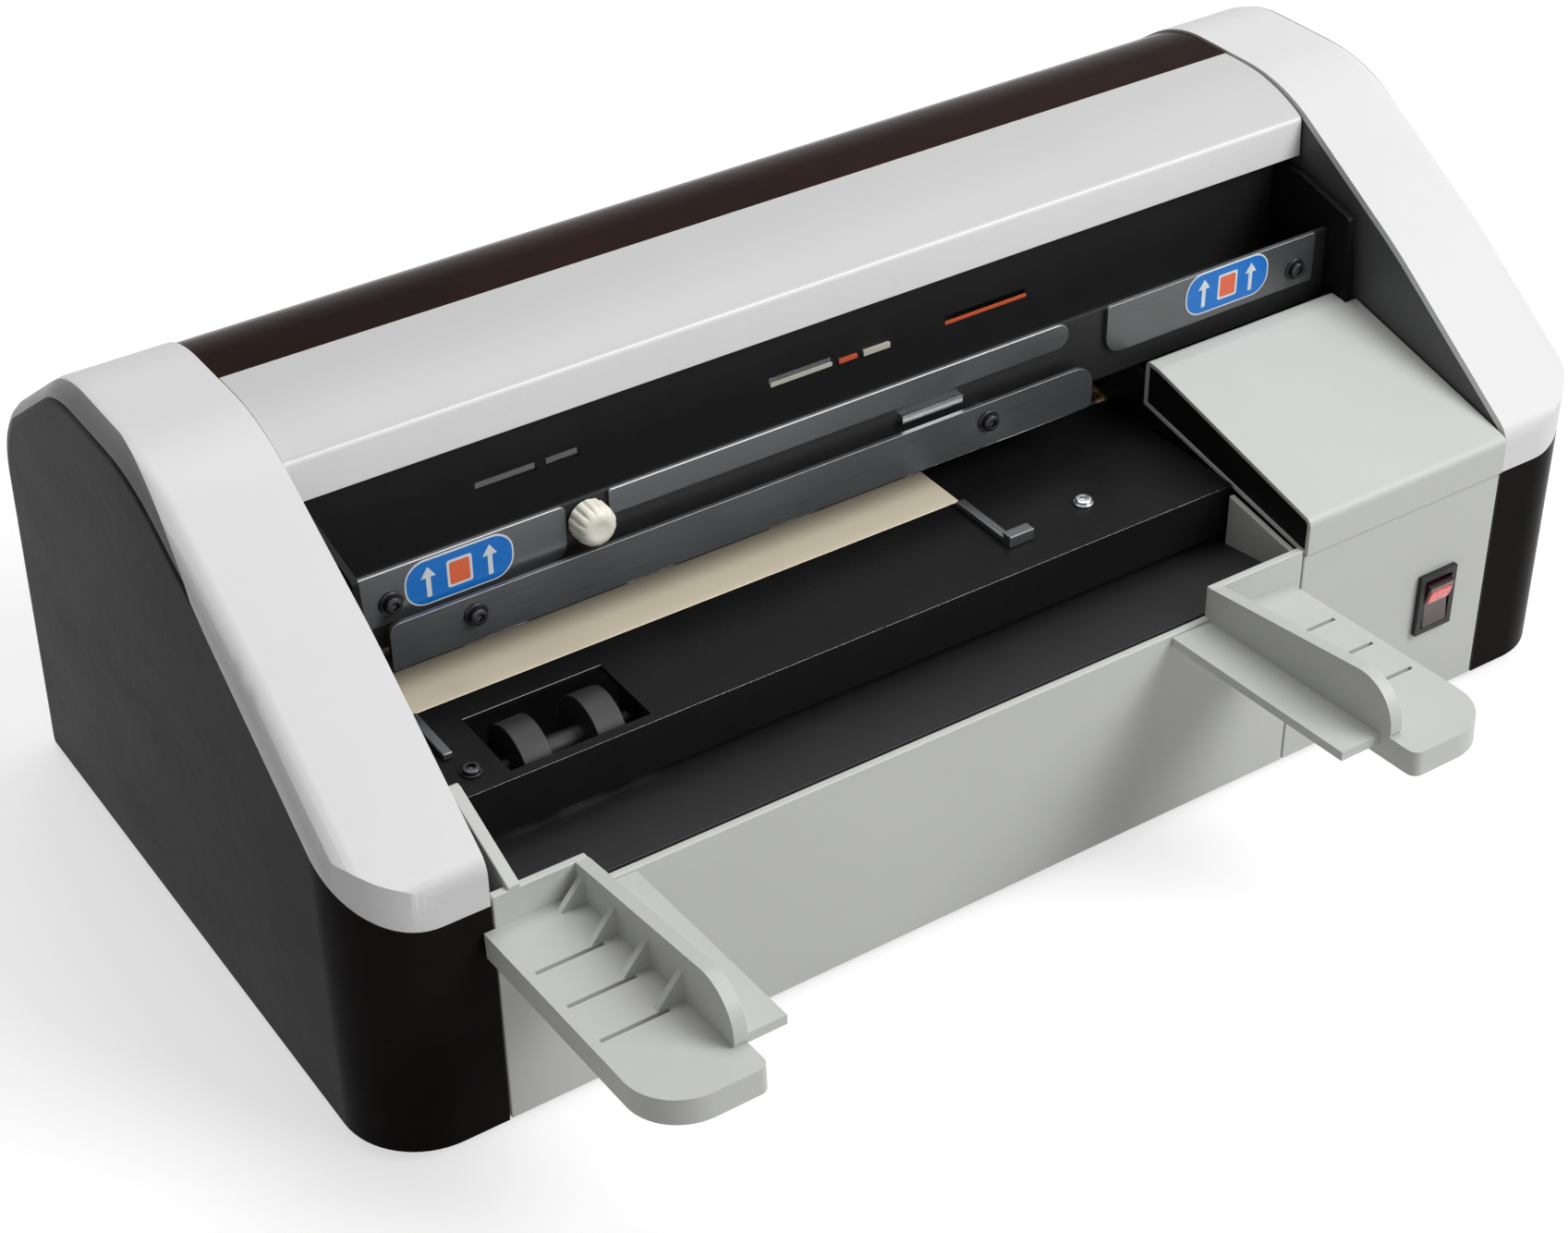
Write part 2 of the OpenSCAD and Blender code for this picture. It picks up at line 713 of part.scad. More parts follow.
// A flat plate facing the front, its corners rounded; corners are [x, z, radius]
module front_plate(y, t, corners) {
    translate([0, y + t, 0]) rotate([90, 0, 0]) linear_extrude(t) polygon(rounded(corners));
}
function plate_corners(x, z, r) = [
    [x[0], z[0], r[0]],
    [x[0], z[1], r[1]],
    [x[1], z[1], r[2]],
    [x[1], z[0], r[3]]
];
module left_guide_plate() {
    color("#4a4d50") on_floor() difference() {
        front_plate(bar_y, bar_t, plate_corners(left_tab_x, [tab_low_z, bar_top_z], [1, 1, 2, 5]));
        for (x = [left_screw_x])
            rod_y(bar_y - 1, bar_y + bar_t + 1, x, tab_screw_z, 3.2);
    }
}
module mid_guide_bar() {
    color("#505356") on_floor() front_plate(bar_y, bar_t,
        plate_corners(mid_bar_x, [mid_low_z, bar_top_z], [1, 1, 4, 4]));
}
module right_guide_plate() {
    color("#4a4d50") on_floor() difference() {
        front_plate(bar_y, bar_t, plate_corners(right_tab_x, [tab_low_z, bar_top_z], [6, 1.5, 1, 1]));
        for (x = [right_screw_x])
            rod_y(bar_y - 1, bar_y + bar_t + 1, x, tab_screw_z, 3.2);
    }
}
guard_screw_x = [-frame_in + 35, box_x - 62];
guard_screw_z = 111.3;
left_screw_x = -frame_in + 12;
right_screw_x = frame_in - 14;
tab_screw_z = 122;
beam_low_z = 107;
module guard_plate() {
    color("#3d4043") on_floor() difference() {
        union() {
            front_plate(guard_y, bar_t, plate_corners(guard_x, guard_z, [1, 3, 7, 2]));
            for (x = guard_screw_x)
                rod_y(guard_y + bar_t, inner_front_y, x, guard_screw_z, 7);
        }
        for (x = guard_screw_x)
            rod_y(guard_y - 1, inner_front_y + 1, x, guard_screw_z, 3.2);
    }
}
inner_front_y = bar_y + bar_t;
module inner_cover() {
    color("#101112") on_floor() difference() {
        union() {
            // beam behind the bar
            block([-frame_in, inner_front_y, beam_low_z], [frame_in, inner_front_y + 1.5, bar_top_z - 1]);
            // shelf over the splitter
            block([-frame_in, inner_front_y, shelf_z], [frame_in, inner_wall_y, shelf_z + 1.5]);
            // wall behind the shelf
            block([-frame_in, inner_wall_y - 1.5, shelf_z], [frame_in, inner_wall_y, inner_top_z]);
        }
        for (slot = inner_slots)
            translate([slot[0] - frame_in, 0, (shelf_z + inner_top_z) / 2 - 1.5])
                block([0, inner_wall_y - 3, 0], [slot[1], inner_wall_y + 1, 3]);
        for (x = [left_screw_x, right_screw_x])
            rod_y(inner_front_y - 1, inner_front_y + 3, x, tab_screw_z, 3.2);
        for (x = guard_screw_x)
            rod_y(inner_front_y - 1, inner_front_y + 3, x, guard_screw_z, 3.2);
        rod_y(inner_front_y - 1, inner_front_y + 3, knob_x, knob_z, knob_pin_d + 2 * run);
    }
}
knob_z = 125.5;
knob_d = 12.5;
knob_pin_d = 5;
knob_len = 9;
module offset_knob() {
    color("#e9e4d0") on_floor() {
        difference() {
            rod_y(bar_y - knob_len + 2, bar_y + 1, knob_x, knob_z, knob_d);
            for (a = [0 : 30 : 330])
                translate([knob_x, 0, knob_z]) rotate([0, a, 0])
                    rod_y(bar_y - knob_len, bar_y + 2, knob_d / 2 + 0.5, 0, 2.2);
        }
        rod_y(bar_y, inner_front_y + 3, knob_x, knob_z, knob_pin_d);
        rod_y(inner_front_y + 1.5 + 0.2, inner_front_y + 4, knob_x, knob_z, knob_pin_d + 3);
    }
}

hold_x = [-frame_in + 24, -frame_in + 64];
window_margin = 2;
ear_t = 3;
deck_t = 1.5;
deck_x = [-frame_in, box_x - seam];
module feed_deck() {
    color("#131415") on_floor() difference() {
        union() {
            block([deck_x[0], deck_front_y, deck_z - deck_t], [deck_x[1], deck_rear_y, deck_z]);
            block([transfer_end_x + 0.2, deck_rear_y - 1, deck_z - deck_t],
                [mid_in, transfer_rear_y, deck_z]);
            block([deck_x[0], deck_front_y, path_z(deck_front_y) + 2.5],
                [deck_x[1], deck_front_y + deck_t, deck_z]);
            for (x = [hold_x[0] - window_margin - ear_t, hold_x[1] + window_margin])
                block([x, sheet_shaft_y - 4, hold_shaft[1] - 3.5],
                    [x + ear_t, sheet_shaft_y + 4, deck_z - deck_t + 0.5]);
        }
        block([hold_x[0] - window_margin, sheet_shaft_y - hold_d / 2 - 1.5, deck_z - 12],
            [hold_x[1] + window_margin, sheet_shaft_y + hold_d / 2 + 1.5, deck_z + 1]);
        rod_x(hold_x[0] - window_margin - ear_t - 1, hold_x[1] + window_margin + ear_t + 1,
            hold_shaft, hold_pin_d + 2 * run);
        for (p = deck_screws)
            translate([p[0], p[1], deck_z - 5]) cylinder(h = 10, d = 3.2);
    }
}
deck_screws = [[-frame_in + 13, 42], [box_x - 44, 51]];
hold_pin_d = 4;
module sheet_hold_wheels() {
    color("#1d1e1f") on_floor() {
        rod_x(hold_x[0] - window_margin - ear_t, hold_x[1] + window_margin + ear_t, hold_shaft, hold_pin_d);
        rod_x(hold_x[0] + 4, hold_x[0] + 13, hold_shaft, hold_d);
        rod_x(hold_x[1] - 13, hold_x[1] - 4, hold_shaft, hold_d);
        rod_x(hold_x[0] + 4, hold_x[1] - 4, hold_shaft, hold_pin_d + 3);
    }
}
rail_left_x = -frame_in + 12;
rail_gap = 2 * card_w + 3;
module strip_guide_rails() {
    color("#b8bcbe") on_floor() {
        block([rail_left_x - 3, 50, deck_z], [rail_left_x, 71, deck_z + 2.2]);
        block([rail_left_x + rail_gap, 48, deck_z], [rail_left_x + rail_gap + 3, 71, deck_z + 2.2]);
        block([rail_left_x + rail_gap, 44, deck_z], [rail_left_x + rail_gap + 9, 48, deck_z + 4]);
    }
}
transfer_end_x = rail_left_x + rail_gap + 3;
transfer_rear_y = row_shaft[0] - row_roller_d / 2 - 0.8;
module transfer_plate() {
    color("#cdbf9c") on_floor()
        block([-frame_in, deck_rear_y + 0.2, deck_z - deck_t], [transfer_end_x, transfer_rear_y, deck_z]);
}

// ---- paper floor, bed knife, chutes ----
sleeves_x = [for (s = [[-104, -64], [-36, -6], [20, 50], [70, 100]]) [s[0] - sheet_off, s[1] - sheet_off]];
module sheet_floor() {
    color("#17181a") on_floor() difference() {
        path_plate(-frame_in, mid_in, shell_t + 0.2, knife_y - knife_r - 1.5, 0.6, 1.2);
        for (x = sleeves_x)
            block([x[0] - 1.5, sheet_shaft_y - sheet_roller_r - 1.5, 50],
                [x[1] + 1.5, sheet_shaft_y + sheet_roller_r + 1.5, 90]);
        block([-frame_in - 1, 0, 50], [-frame_in + cheek_t + 0.2, deck_front_y, 90]);
        block([box_x - seam - 2.2, 0, 50], [mid_in + 1, deck_front_y, 90]);
    }
}
module bed_knife() {
    color("#a9adb0") on_floor() difference() {
        block([-frame_in, knife_y - 1, path_z(knife_y) + 0.1], [mid_in, knife_y + 9, path_z(knife_y) + 5]);
        along_x(-frame_in - 1, mid_in + 1) polygon([
            [knife_y - 2, path_z(knife_y) - 1],
            [knife_y, path_z(knife_y)],
            [knife_y + 10, path_z(knife_y) + 1.6],
            [knife_y + 10, path_z(knife_y) - 1]
        ]);
    }
}
module exit_chutes() {
    color("#9ea2a4") on_floor() {
        path_plate(-frame_in, mid_in, knife_y + knife_r + 1.5, rear_y(52) - shell_t - 0.3, 2, 1.2);
        along_x(-frame_in, mid_in) polygon([
            [split_low[0] + disc_d / 2 + 1, row_z - 0.2],
            [rear_y(76) - shell_t - 0.3, card_slot[0] + 3],
            [rear_y(76) - shell_t - 0.3, card_slot[0] + 1.8],
            [split_low[0] + disc_d / 2 + 1, row_z - 1.4]
        ]);
    }
}

// ---- shafts and what turns on them ----
shaft_x = [-frame_out + 0.5, gear_x + gear_w + 1];
flange_t = 1;
module bearing(x0, x1, seat, flange_side) {
    d = seat[2] + 2 * run;
    difference() {
        union() {
            rod_x(x0, x1, seat, d + 2 * bearing_wall);
            rod_x(flange_side < 0 ? x0 - flange_t : x1, flange_side < 0 ? x0 : x1 + flange_t, seat,
                d + 2 * bearing_wall + 1);
        }
        rod_x(x0 - 2, x1 + 2, seat, d);
    }
}
module bearings() {
    color("#b08d4f") on_floor() for (seat = bearing_seats) {
        bearing(-frame_out, -frame_in, seat, 1);
        bearing(mid_in, mid_out, seat, -1);
    }
}
module sleeves(at, bore_d, d, spans) {
    difference() {
        for (x = spans)
            rod_x(x[0], x[1], at, d);
        rod_x(shaft_x[0], shaft_x[1], at, bore_d);
    }
}
// One tooth's flank radii, root to tip, and the whole gear's outline
tooth_top = 0.95;
tooth_root = 1.25;
pressure = 20;
function inv_deg(a) = tan(a) * 180 / PI - a;
function base_r(teeth) = pitch_r(teeth) * cos(pressure);
function half_tooth(teeth, r) =
    90 / teeth - backlash / 4 / pitch_r(teeth) * 180 / PI + inv_deg(pressure)
    - inv_deg(r > base_r(teeth) ? acos(base_r(teeth) / r) : 0);
function polar(r, a) = [r * cos(a), r * sin(a)];
function flank_r(teeth, k, n) =
    let (r0 = max(base_r(teeth), pitch_r(teeth) - tooth_root * gear_m))
    r0 + (pitch_r(teeth) + tooth_top * gear_m - r0) * k / n;
flank_n = 4;
function gear_points(teeth) = [
    for (i = [0 : teeth - 1])
        let (a = 360 * i / teeth, root = pitch_r(teeth) - tooth_root * gear_m)
        for (p = concat(
            [polar(root, a - half_tooth(teeth, flank_r(teeth, 0, flank_n)))],
            [for (k = [0 : flank_n])
                polar(flank_r(teeth, k, flank_n), a - half_tooth(teeth, flank_r(teeth, k, flank_n)))],
            [for (k = [flank_n : -1 : 0])
                polar(flank_r(teeth, k, flank_n), a + half_tooth(teeth, flank_r(teeth, k, flank_n)))],
            [polar(root, a + half_tooth(teeth, flank_r(teeth, 0, flank_n)))]
        )) p
];
// Gear on a bore, with a hub towards +X and lightening holes where it is large enough
module gear(at, teeth, turn, bore_d) {
    translate([gear_x, at[0], at[1]]) rotate([90, 0, 90]) difference() {
        linear_extrude(gear_w) rotate(turn) polygon(gear_points(teeth));
        translate([0, 0, -1]) cylinder(h = gear_w + 2, d = bore_d);
        if (teeth > 30)
            for (a = [0 : 60 : 300])
                rotate(a) translate([pitch_r(teeth) * 0.6, 0, -1]) cylinder(h = gear_w + 2, d = 7);
    }
}
module sheet_feed_shaft() {
    color("#c9ccce") on_floor() rod_x(shaft_x[0], shaft_x[1], sheet_shaft, feed_shaft_d);
}
module sheet_feed_sleeves() {
    color("#2e2f31") on_floor()
        sleeves(sheet_shaft, feed_shaft_d + 2 * run, 2 * sheet_roller_r, sleeves_x);
}
module sheet_feed_gear() {
    color("#e8e6dc") on_floor() gear(sheet_shaft, sheet_teeth, sheet_turn, feed_shaft_d + 2 * run);
}
row_sleeves_x = [
    for (s = [[2, 28], [52, 82], [102, 132], [152, 182]]) [s[0] + rail_left_x, s[1] + rail_left_x]
];
module row_feed_shaft() {
    color("#c9ccce") on_floor() rod_x(shaft_x[0], shaft_x[1], row_shaft, feed_shaft_d);
}
module row_feed_sleeves() {
    color("#2e2f31") on_floor() sleeves(row_shaft, feed_shaft_d + 2 * run, row_roller_d, row_sleeves_x);
}
module row_feed_gear() {
    color("#e8e6dc") on_floor() gear(row_shaft, row_teeth, row_turn, feed_shaft_d + 2 * run);
}
module row_pinch_roller() {
    color("#55585b") on_floor() {
        rod_x(-frame_out + 0.5, mid_out - 0.5, pinch_shaft, 5);
        for (x = row_sleeves_x)
            rod_x(x[0], x[1], pinch_shaft, row_roller_d);
    }
}
first_cut_x = rail_left_x + 1.5;
cuts_x = [for (i = [0 : 2]) first_cut_x + i * card_w];
collar_d = split_pitch - 0.8;
split_collars_x = [for (x = cuts_x, s = [-1, 1]) [x + s * 24 - 6, x + s * 24 + 6]];
inner_collars = [for (c = split_collars_x) if (c[0] > -frame_in + 2 && c[1] < mid_in - 2) c];
module shaft_with_collars(at) {
    rod_x(shaft_x[0], shaft_x[1], at, split_shaft_d);
    for (x = inner_collars)
        rod_x(x[0], x[1], at, collar_d);
}
module split_lower_shaft() {
    color("#bfc2c5") on_floor() shaft_with_collars(split_low);
}
module split_upper_shaft() {
    color("#bfc2c5") on_floor() shaft_with_collars(split_up);
}
blade_gap = 0.03;
module disc_set(at, shift) {
    for (x = cuts_x)
        difference() {
            union() {
                moved = x + shift * (disc_t + blade_gap);
                rod_x(moved, moved + disc_t, at, disc_d);
                rod_x(x + (shift > 0 ? disc_t * 2 : -4), x + (shift > 0 ? disc_t * 2 + 4 : 0), at,
                    split_shaft_d + 4);
            }
            rod_x(x - 8, x + 10, at, split_shaft_d + 2 * run);
        }
}
module split_lower_discs() {
    color("#dfe2e4") on_floor() disc_set(split_low, 0);
}
module split_upper_discs() {
    color("#dfe2e4") on_floor() disc_set(split_up, 1);
}
module split_lower_gear() {
    color("#8d7a4a") on_floor() gear(split_low, split_teeth, split_low_turn, split_shaft_d + 2 * run);
}
module split_upper_gear() {
    color("#8d7a4a") on_floor() gear(split_up, split_teeth, split_up_turn, split_shaft_d + 2 * run);
}
drum_r = 10;
blade_t = 2;
drum_x = [-frame_in + 4, mid_in - 4];
module knife_drum() {
    color("#8b8f92") on_floor() {
        rod_x(shaft_x[0], shaft_x[1], knife_shaft, feed_shaft_d);
        difference() {
            rod_x(drum_x[0], drum_x[1], knife_shaft, 2 * drum_r);
            block([drum_x[0] - 1, knife_shaft[0] + 2, knife_shaft[1] - blade_t / 2 - fit_gap / 2],
                [drum_x[1] + 1, knife_shaft[0] + drum_r + 1, knife_shaft[1] + blade_t / 2 + fit_gap / 2]);
        }
    }
}
module knife_blade() {
    color("#dfe2e4") on_floor() along_x(drum_x[0], drum_x[1]) polygon([
        [knife_shaft[0] + 4.5, knife_shaft[1] - blade_t / 2],
        [knife_shaft[0] + 4.5, knife_shaft[1] + blade_t / 2],
        [knife_shaft[0] + knife_r - 2, knife_shaft[1] + blade_t / 2],
        [knife_shaft[0] + knife_r - 0.1, knife_shaft[1] - blade_t / 2]
    ]);
}
module knife_gear() {
    color("#e8e6dc") on_floor() gear(knife_shaft, knife_teeth, knife_turn, feed_shaft_d + 2 * run);
}
module front_idler_gear() {
    color("#e8e6dc") on_floor() gear(front_idler, front_idler_teeth, front_idler_turn, stud_d + 2 * run);
}
module row_idler_gear() {
    color("#e8e6dc") on_floor() gear(row_idler, row_idler_teeth, row_idler_turn, stud_d + 2 * run);
}
module rear_idler_gear() {
    color("#e8e6dc") on_floor() gear(rear_idler, rear_idler_teeth, rear_idler_turn, stud_d + 2 * run);
}

// ---- drive and electrics ----
motor_shaft_d = 6;
gearbox_d = 37;
gearbox_x = [gear_x + gear_w + 4, gear_x + gear_w + 28];
motor_d = 36;
module gear_motor() {
    color("#9a9da0") on_floor() {
        difference() {
            rod_x(gearbox_x[0], gearbox_x[1], motor_shaft, gearbox_d);
            rod_x(gearbox_x[0] - 1, gearbox_x[0] + 5.5, motor_shaft, motor_shaft_d + 2 * run);
        }
        rod_x(gearbox_x[1], frame_in, motor_shaft, motor_d);
        rod_x(frame_in - 1, frame_out, motor_shaft, 3);
    }
}
module motor_pinion() {
    color("#8d7a4a") on_floor() {
        gear(motor_shaft, motor_teeth, motor_turn, motor_shaft_d - 0.5);
        rod_x(gear_x - 1.5, gearbox_x[0] + 5, motor_shaft, motor_shaft_d);
    }
}
board_x = [mid_out + 10, frame_in - 6];
board_y = [96, 190];
board_z = base_z + 8;
board_top_z = board_z + 1.6;
// A square-edged part of height h on the board; its corners are measured from the board's front left corner
module on_board(lo, hi, h) {
    translate([board_x[0], board_y[0], board_top_z]) block([lo[0], lo[1], 0], [hi[0], hi[1], h]);
}
module power_board() {
    color("#2f5d3a") on_floor() {
        block([board_x[0], board_y[0], board_z], [board_x[1], board_y[1], board_top_z]);
        for (x = [board_x[0] + 4, board_x[1] - 4], y = [board_y[0] + 4, board_y[1] - 4])
            translate([x, y, base_z]) cylinder(h = 8.5, d = 5);
        // cooling block, transistor and transformer, then a capacitor
        on_board([6, 10], [30, 38], 24);
        on_board([6, 50], [20, 56], 20);
        on_board([board_x[1] - board_x[0] - 28, 50], [board_x[1] - board_x[0] - 6, 70], 12);
        translate([board_x[1] - 12, board_y[0] + 20, board_top_z]) cylinder(h = 26, d = 14);
    }
}
module mains_inlet() {
    color("#141414") on_floor() {
        front = rear_y(inlet_z);
        difference() {
            union() {
                block([inlet_x - inlet_size[0] / 2 + 0.3, front - 24, inlet_z - inlet_size[1] / 2 + 0.3],
                    [inlet_x + inlet_size[0] / 2 - 0.3, front + 1, inlet_z + inlet_size[1] / 2 - 0.3]);
                block([inlet_x - 20, front + 1.6, inlet_z - 13], [inlet_x + 20, front + 4.3, inlet_z + 13]);
                block([inlet_x - 12, front, inlet_z - 8], [inlet_x + 12, front + 2, inlet_z + 8]);
            }
            block([inlet_x - 11, front - 18, inlet_z - 7], [inlet_x + 11, front + 5, inlet_z + 7]);
        }
        for (p = [[-5, -2], [5, -2], [0, 3]])
            block([inlet_x + p[0] - 1, front - 19, inlet_z + p[1] - 2],
                [inlet_x + p[0] + 1, front - 4, inlet_z + p[1] + 2]);
    }
}
switch_pivot_y = 1.5;
module switch_bezel() {
    color("#111111") on_floor() difference() {
        union() {
            block([switch_x - switch_w / 2, -1.8, switch_z - switch_h / 2],
                [switch_x + switch_w / 2, 0, switch_z + switch_h / 2]);
            block([switch_x - switch_w / 2 + 1.2, -0.5, switch_z - switch_h / 2 + 1.2],
                [switch_x + switch_w / 2 - 1.2, 18, switch_z + switch_h / 2 - 1.2]);
        }
        block([switch_x - switch_w / 2 + 2, -3, switch_z - switch_h / 2 + 2],
            [switch_x + switch_w / 2 - 2, 12, switch_z + switch_h / 2 - 2]);
        rod_x(switch_x - switch_w / 2 + 1, switch_x + switch_w / 2 - 1, [switch_pivot_y, switch_z], 3.1);
    }
}
rocker_h = switch_h - 5.5;
module switch_rocker() {
    color("#c3261d") on_floor() translate([0, switch_pivot_y, switch_z]) rotate([rocker_swing / 2, 0, 0])
        translate([switch_x, 0, 0]) {
            rod_x(-switch_w / 2 + 1.6, switch_w / 2 - 1.6, [0, 0], 3);
            along_x(-switch_w / 2 + 2.4, switch_w / 2 - 2.4) polygon([
                [3, -4],
                [-2.2, -rocker_h / 2],
                [-4.6, -rocker_h / 2],
                [-3, 0],
                [-4.6, rocker_h / 2],
                [-2.2, rocker_h / 2],
                [3, 4]
            ]);
        }
}

// ---- sheet guides ----
guide_left_x = -sheet_off - (sheet_w + sheet_play) / 2;
guide_right_x = -sheet_off + (sheet_w + sheet_play) / 2;
shelf_top_z = sheet_z - 1.5;
ledge_w = 14;
slot_spots = [-20, -36, -52];
// Wing to the left; x runs outwards from the sheet's edge
module guide_wing() {
    rotate([-atan(guide_rise), 0, 0]) difference() {
        union() {
            // shelf with a rounded outer front corner
            translate([0, 0, -guide_shelf_t]) linear_extrude(guide_shelf_t) polygon(rounded([
                [0, -guide_reach + 2, 3],
                [0, 0, 0.2],
                [guide_w, 0, 0.2],
                [guide_w, -guide_reach + 2, 16]
            ]));
            // guide wall
            outline_x(0, guide_wall_t, [
                [-guide_wall_reach, -0.5, 2],
                [-guide_wall_reach, guide_front_h, 13],
                [0, guide_wall_h, 0.5],
                [0, -0.5, 0.2]
            ]);
            // ledge under the sheet's edge
            block([-ledge_w, -guide_wall_reach + 4, -4], [1, 0, -1]);
            // gussets
            for (y = concat(slot_spots, [-4]))
                translate([guide_wall_t - 0.5, y + 1, 0]) rotate([90, 0, 0]) linear_extrude(2)
                    polygon([[0, -0.5], [0, guide_wall_h - 1], [9, -0.5]]);
        }
        // thin slots across the shelf
        for (y = slot_spots)
            block([guide_wall_t + 5, y - 2.6, -guide_shelf_t - 1], [guide_w - 3, y - 1.2, 1]);
    }
}
module left_guide() {
    color("#cfd1cf") on_floor() translate([guide_left_x, 0, shelf_top_z]) difference() {
        mirror([1, 0, 0]) guide_wing();
        block([-60, 0, -60], [60, 20, 60]);
    }
}
module right_guide() {
    color("#cfd1cf") on_floor() translate([guide_right_x, 0, shelf_top_z]) difference() {
        guide_wing();
        block([-60, 0, -60], [60, 20, 60]);
    }
}

// ---- screws ----
module screw_y(x, y, z, len) {
    rod_y(y - 2.2, y, x, z, 6);
    rod_y(y - 0.5, y + len, x, z, 3);
}
module screws() {
    color("#1f2022") on_floor() {
        for (x = [left_screw_x, right_screw_x])
            screw_y(x, bar_y, tab_screw_z, 4);
        for (x = guard_screw_x)
            screw_y(x, guard_y, guard_screw_z, 8);
        for (p = deck_screws)
            translate([p[0], p[1], deck_z - 4]) {
                cylinder(h = 5, d = 3);
                translate([0, 0, 4]) cylinder(h = 1.4, d = 6);
            }
    }
}

base_plate();
left_frame();
mid_frame();
right_frame();
tie_rods();
feet();
left_side_shell();
right_side_shell();
left_band();
right_band();
front_panel();
box_hood();
box_side_plate();
switch_panel();
rear_panel();
hood();
smoked_window();
hood_hinge_pins();
left_guide_plate();
mid_guide_bar();
right_guide_plate();
guard_plate();
inner_cover();
offset_knob();
feed_deck();
strip_guide_rails();
transfer_plate();
sheet_hold_wheels();
sheet_floor();
bed_knife();
exit_chutes();
bearings();
sheet_feed_shaft();
sheet_feed_sleeves();
sheet_feed_gear();
row_feed_shaft();
row_feed_sleeves();
row_feed_gear();
row_pinch_roller();
split_lower_shaft();
split_lower_discs();
split_lower_gear();
split_upper_shaft();
split_upper_discs();
split_upper_gear();
knife_drum();
knife_blade();
knife_gear();
front_idler_gear();
row_idler_gear();
rear_idler_gear();
gear_motor();
motor_pinion();
power_board();
mains_inlet();
switch_bezel();
switch_rocker();
left_guide();
right_guide();
screws();
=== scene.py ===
# %% [markdown]
# # A desktop business card cutter, dressed
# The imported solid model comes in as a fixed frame. Every cell below then does one thing: it explains a piece
# or a finish of the real machine, builds it, and prints what it made.

# %% The frame
import json
import math
import bmesh
import bpy
from mathutils import Matrix, Vector


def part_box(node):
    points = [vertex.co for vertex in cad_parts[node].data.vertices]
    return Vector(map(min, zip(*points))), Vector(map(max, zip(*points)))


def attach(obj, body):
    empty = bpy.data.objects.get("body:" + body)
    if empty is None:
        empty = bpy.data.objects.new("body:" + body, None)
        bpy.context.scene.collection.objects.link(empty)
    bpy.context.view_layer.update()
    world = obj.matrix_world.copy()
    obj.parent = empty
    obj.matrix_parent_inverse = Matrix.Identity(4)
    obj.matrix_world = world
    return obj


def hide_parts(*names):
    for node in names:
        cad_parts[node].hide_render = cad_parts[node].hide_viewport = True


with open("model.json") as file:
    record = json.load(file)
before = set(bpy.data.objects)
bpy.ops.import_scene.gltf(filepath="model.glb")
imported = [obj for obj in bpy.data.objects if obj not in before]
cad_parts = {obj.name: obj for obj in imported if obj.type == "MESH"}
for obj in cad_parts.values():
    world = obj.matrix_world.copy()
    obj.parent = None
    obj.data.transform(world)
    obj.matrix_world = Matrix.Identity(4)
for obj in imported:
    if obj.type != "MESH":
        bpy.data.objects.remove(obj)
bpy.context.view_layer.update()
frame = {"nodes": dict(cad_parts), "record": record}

MM = 0.001
print("nodes in the frame:", len(frame["nodes"]))

# %% [markdown]
# ## Camera
# The photograph looks down on the machine from its front left corner. The place, the turn and the lens were
# worked out from straight edges of the machine, so the picture lines up with the model without any shift.
# A camera looks along its own -Z, so its three axes are set from the view direction and a small roll.

# %% Camera
AZIMUTH, ELEVATION, ROLL = math.radians(-33.25), math.radians(35.83), math.radians(-0.77)
EYE = Vector((-0.4266, -0.5895, 0.5807))
FOCAL_PX, IMAGE_W, SENSOR_MM = 3180.1, 1697, 36
backward = Vector((math.sin(AZIMUTH) * math.cos(ELEVATION), -math.cos(AZIMUTH) * math.cos(ELEVATION),
                   math.sin(ELEVATION)))
right = (-backward).cross(Vector((0, 0, 1))).normalized()
up = right.cross(-backward)
side = right * math.cos(ROLL) + up * math.sin(ROLL)
top = -right * math.sin(ROLL) + up * math.cos(ROLL)
camera_data = bpy.data.cameras.new("camera")
camera_data.sensor_fit = "HORIZONTAL"
camera_data.sensor_width = SENSOR_MM
camera_data.lens = FOCAL_PX * SENSOR_MM / IMAGE_W
camera_data.clip_start, camera_data.clip_end = 0.01, 50
camera = bpy.data.objects.new("camera", camera_data)
camera.matrix_world = Matrix.Translation(EYE) @ Matrix((side, top, backward)).transposed().to_4x4()
bpy.context.scene.collection.objects.link(camera)
bpy.context.scene.camera = camera
print("lens", round(camera_data.lens, 1), "mm")

# %% [markdown]
# ## Shader maths
# Node trees are hard to read as lists of links. A small class wraps a socket, so that a mask can be written
# as `1 - noise * 0.3`, and one method makes every other kind of node.

# %% Wires and benches
class Wire:
    """A socket's value. Arithmetic on it adds Math nodes to the same tree."""

    def __init__(self, bench, socket):
        self.bench, self.socket = bench, socket

    def _math(self, operation, first, second):
        return self.bench.node("ShaderNodeMath", {"operation": operation}, {0: first, 1: second})

    def __add__(self, other):
        return self._math("ADD", self, other)

    def __sub__(self, other):
        return self._math("SUBTRACT", self, other)

    def __rsub__(self, other):
        return self._math("SUBTRACT", other, self)

    def __mul__(self, other):
        return self._math("MULTIPLY", self, other)

    __radd__ = __add__
    __rmul__ = __mul__

    def clamp(self, low=0.0, high=1.0):
        return self._math("MINIMUM", self._math("MAXIMUM", self, low), high)

    def step(self, edge, soft=0.02):
        """0 below the edge, 1 above it, over a soft width."""
        return ((self - edge) * (1 / soft)).clamp()


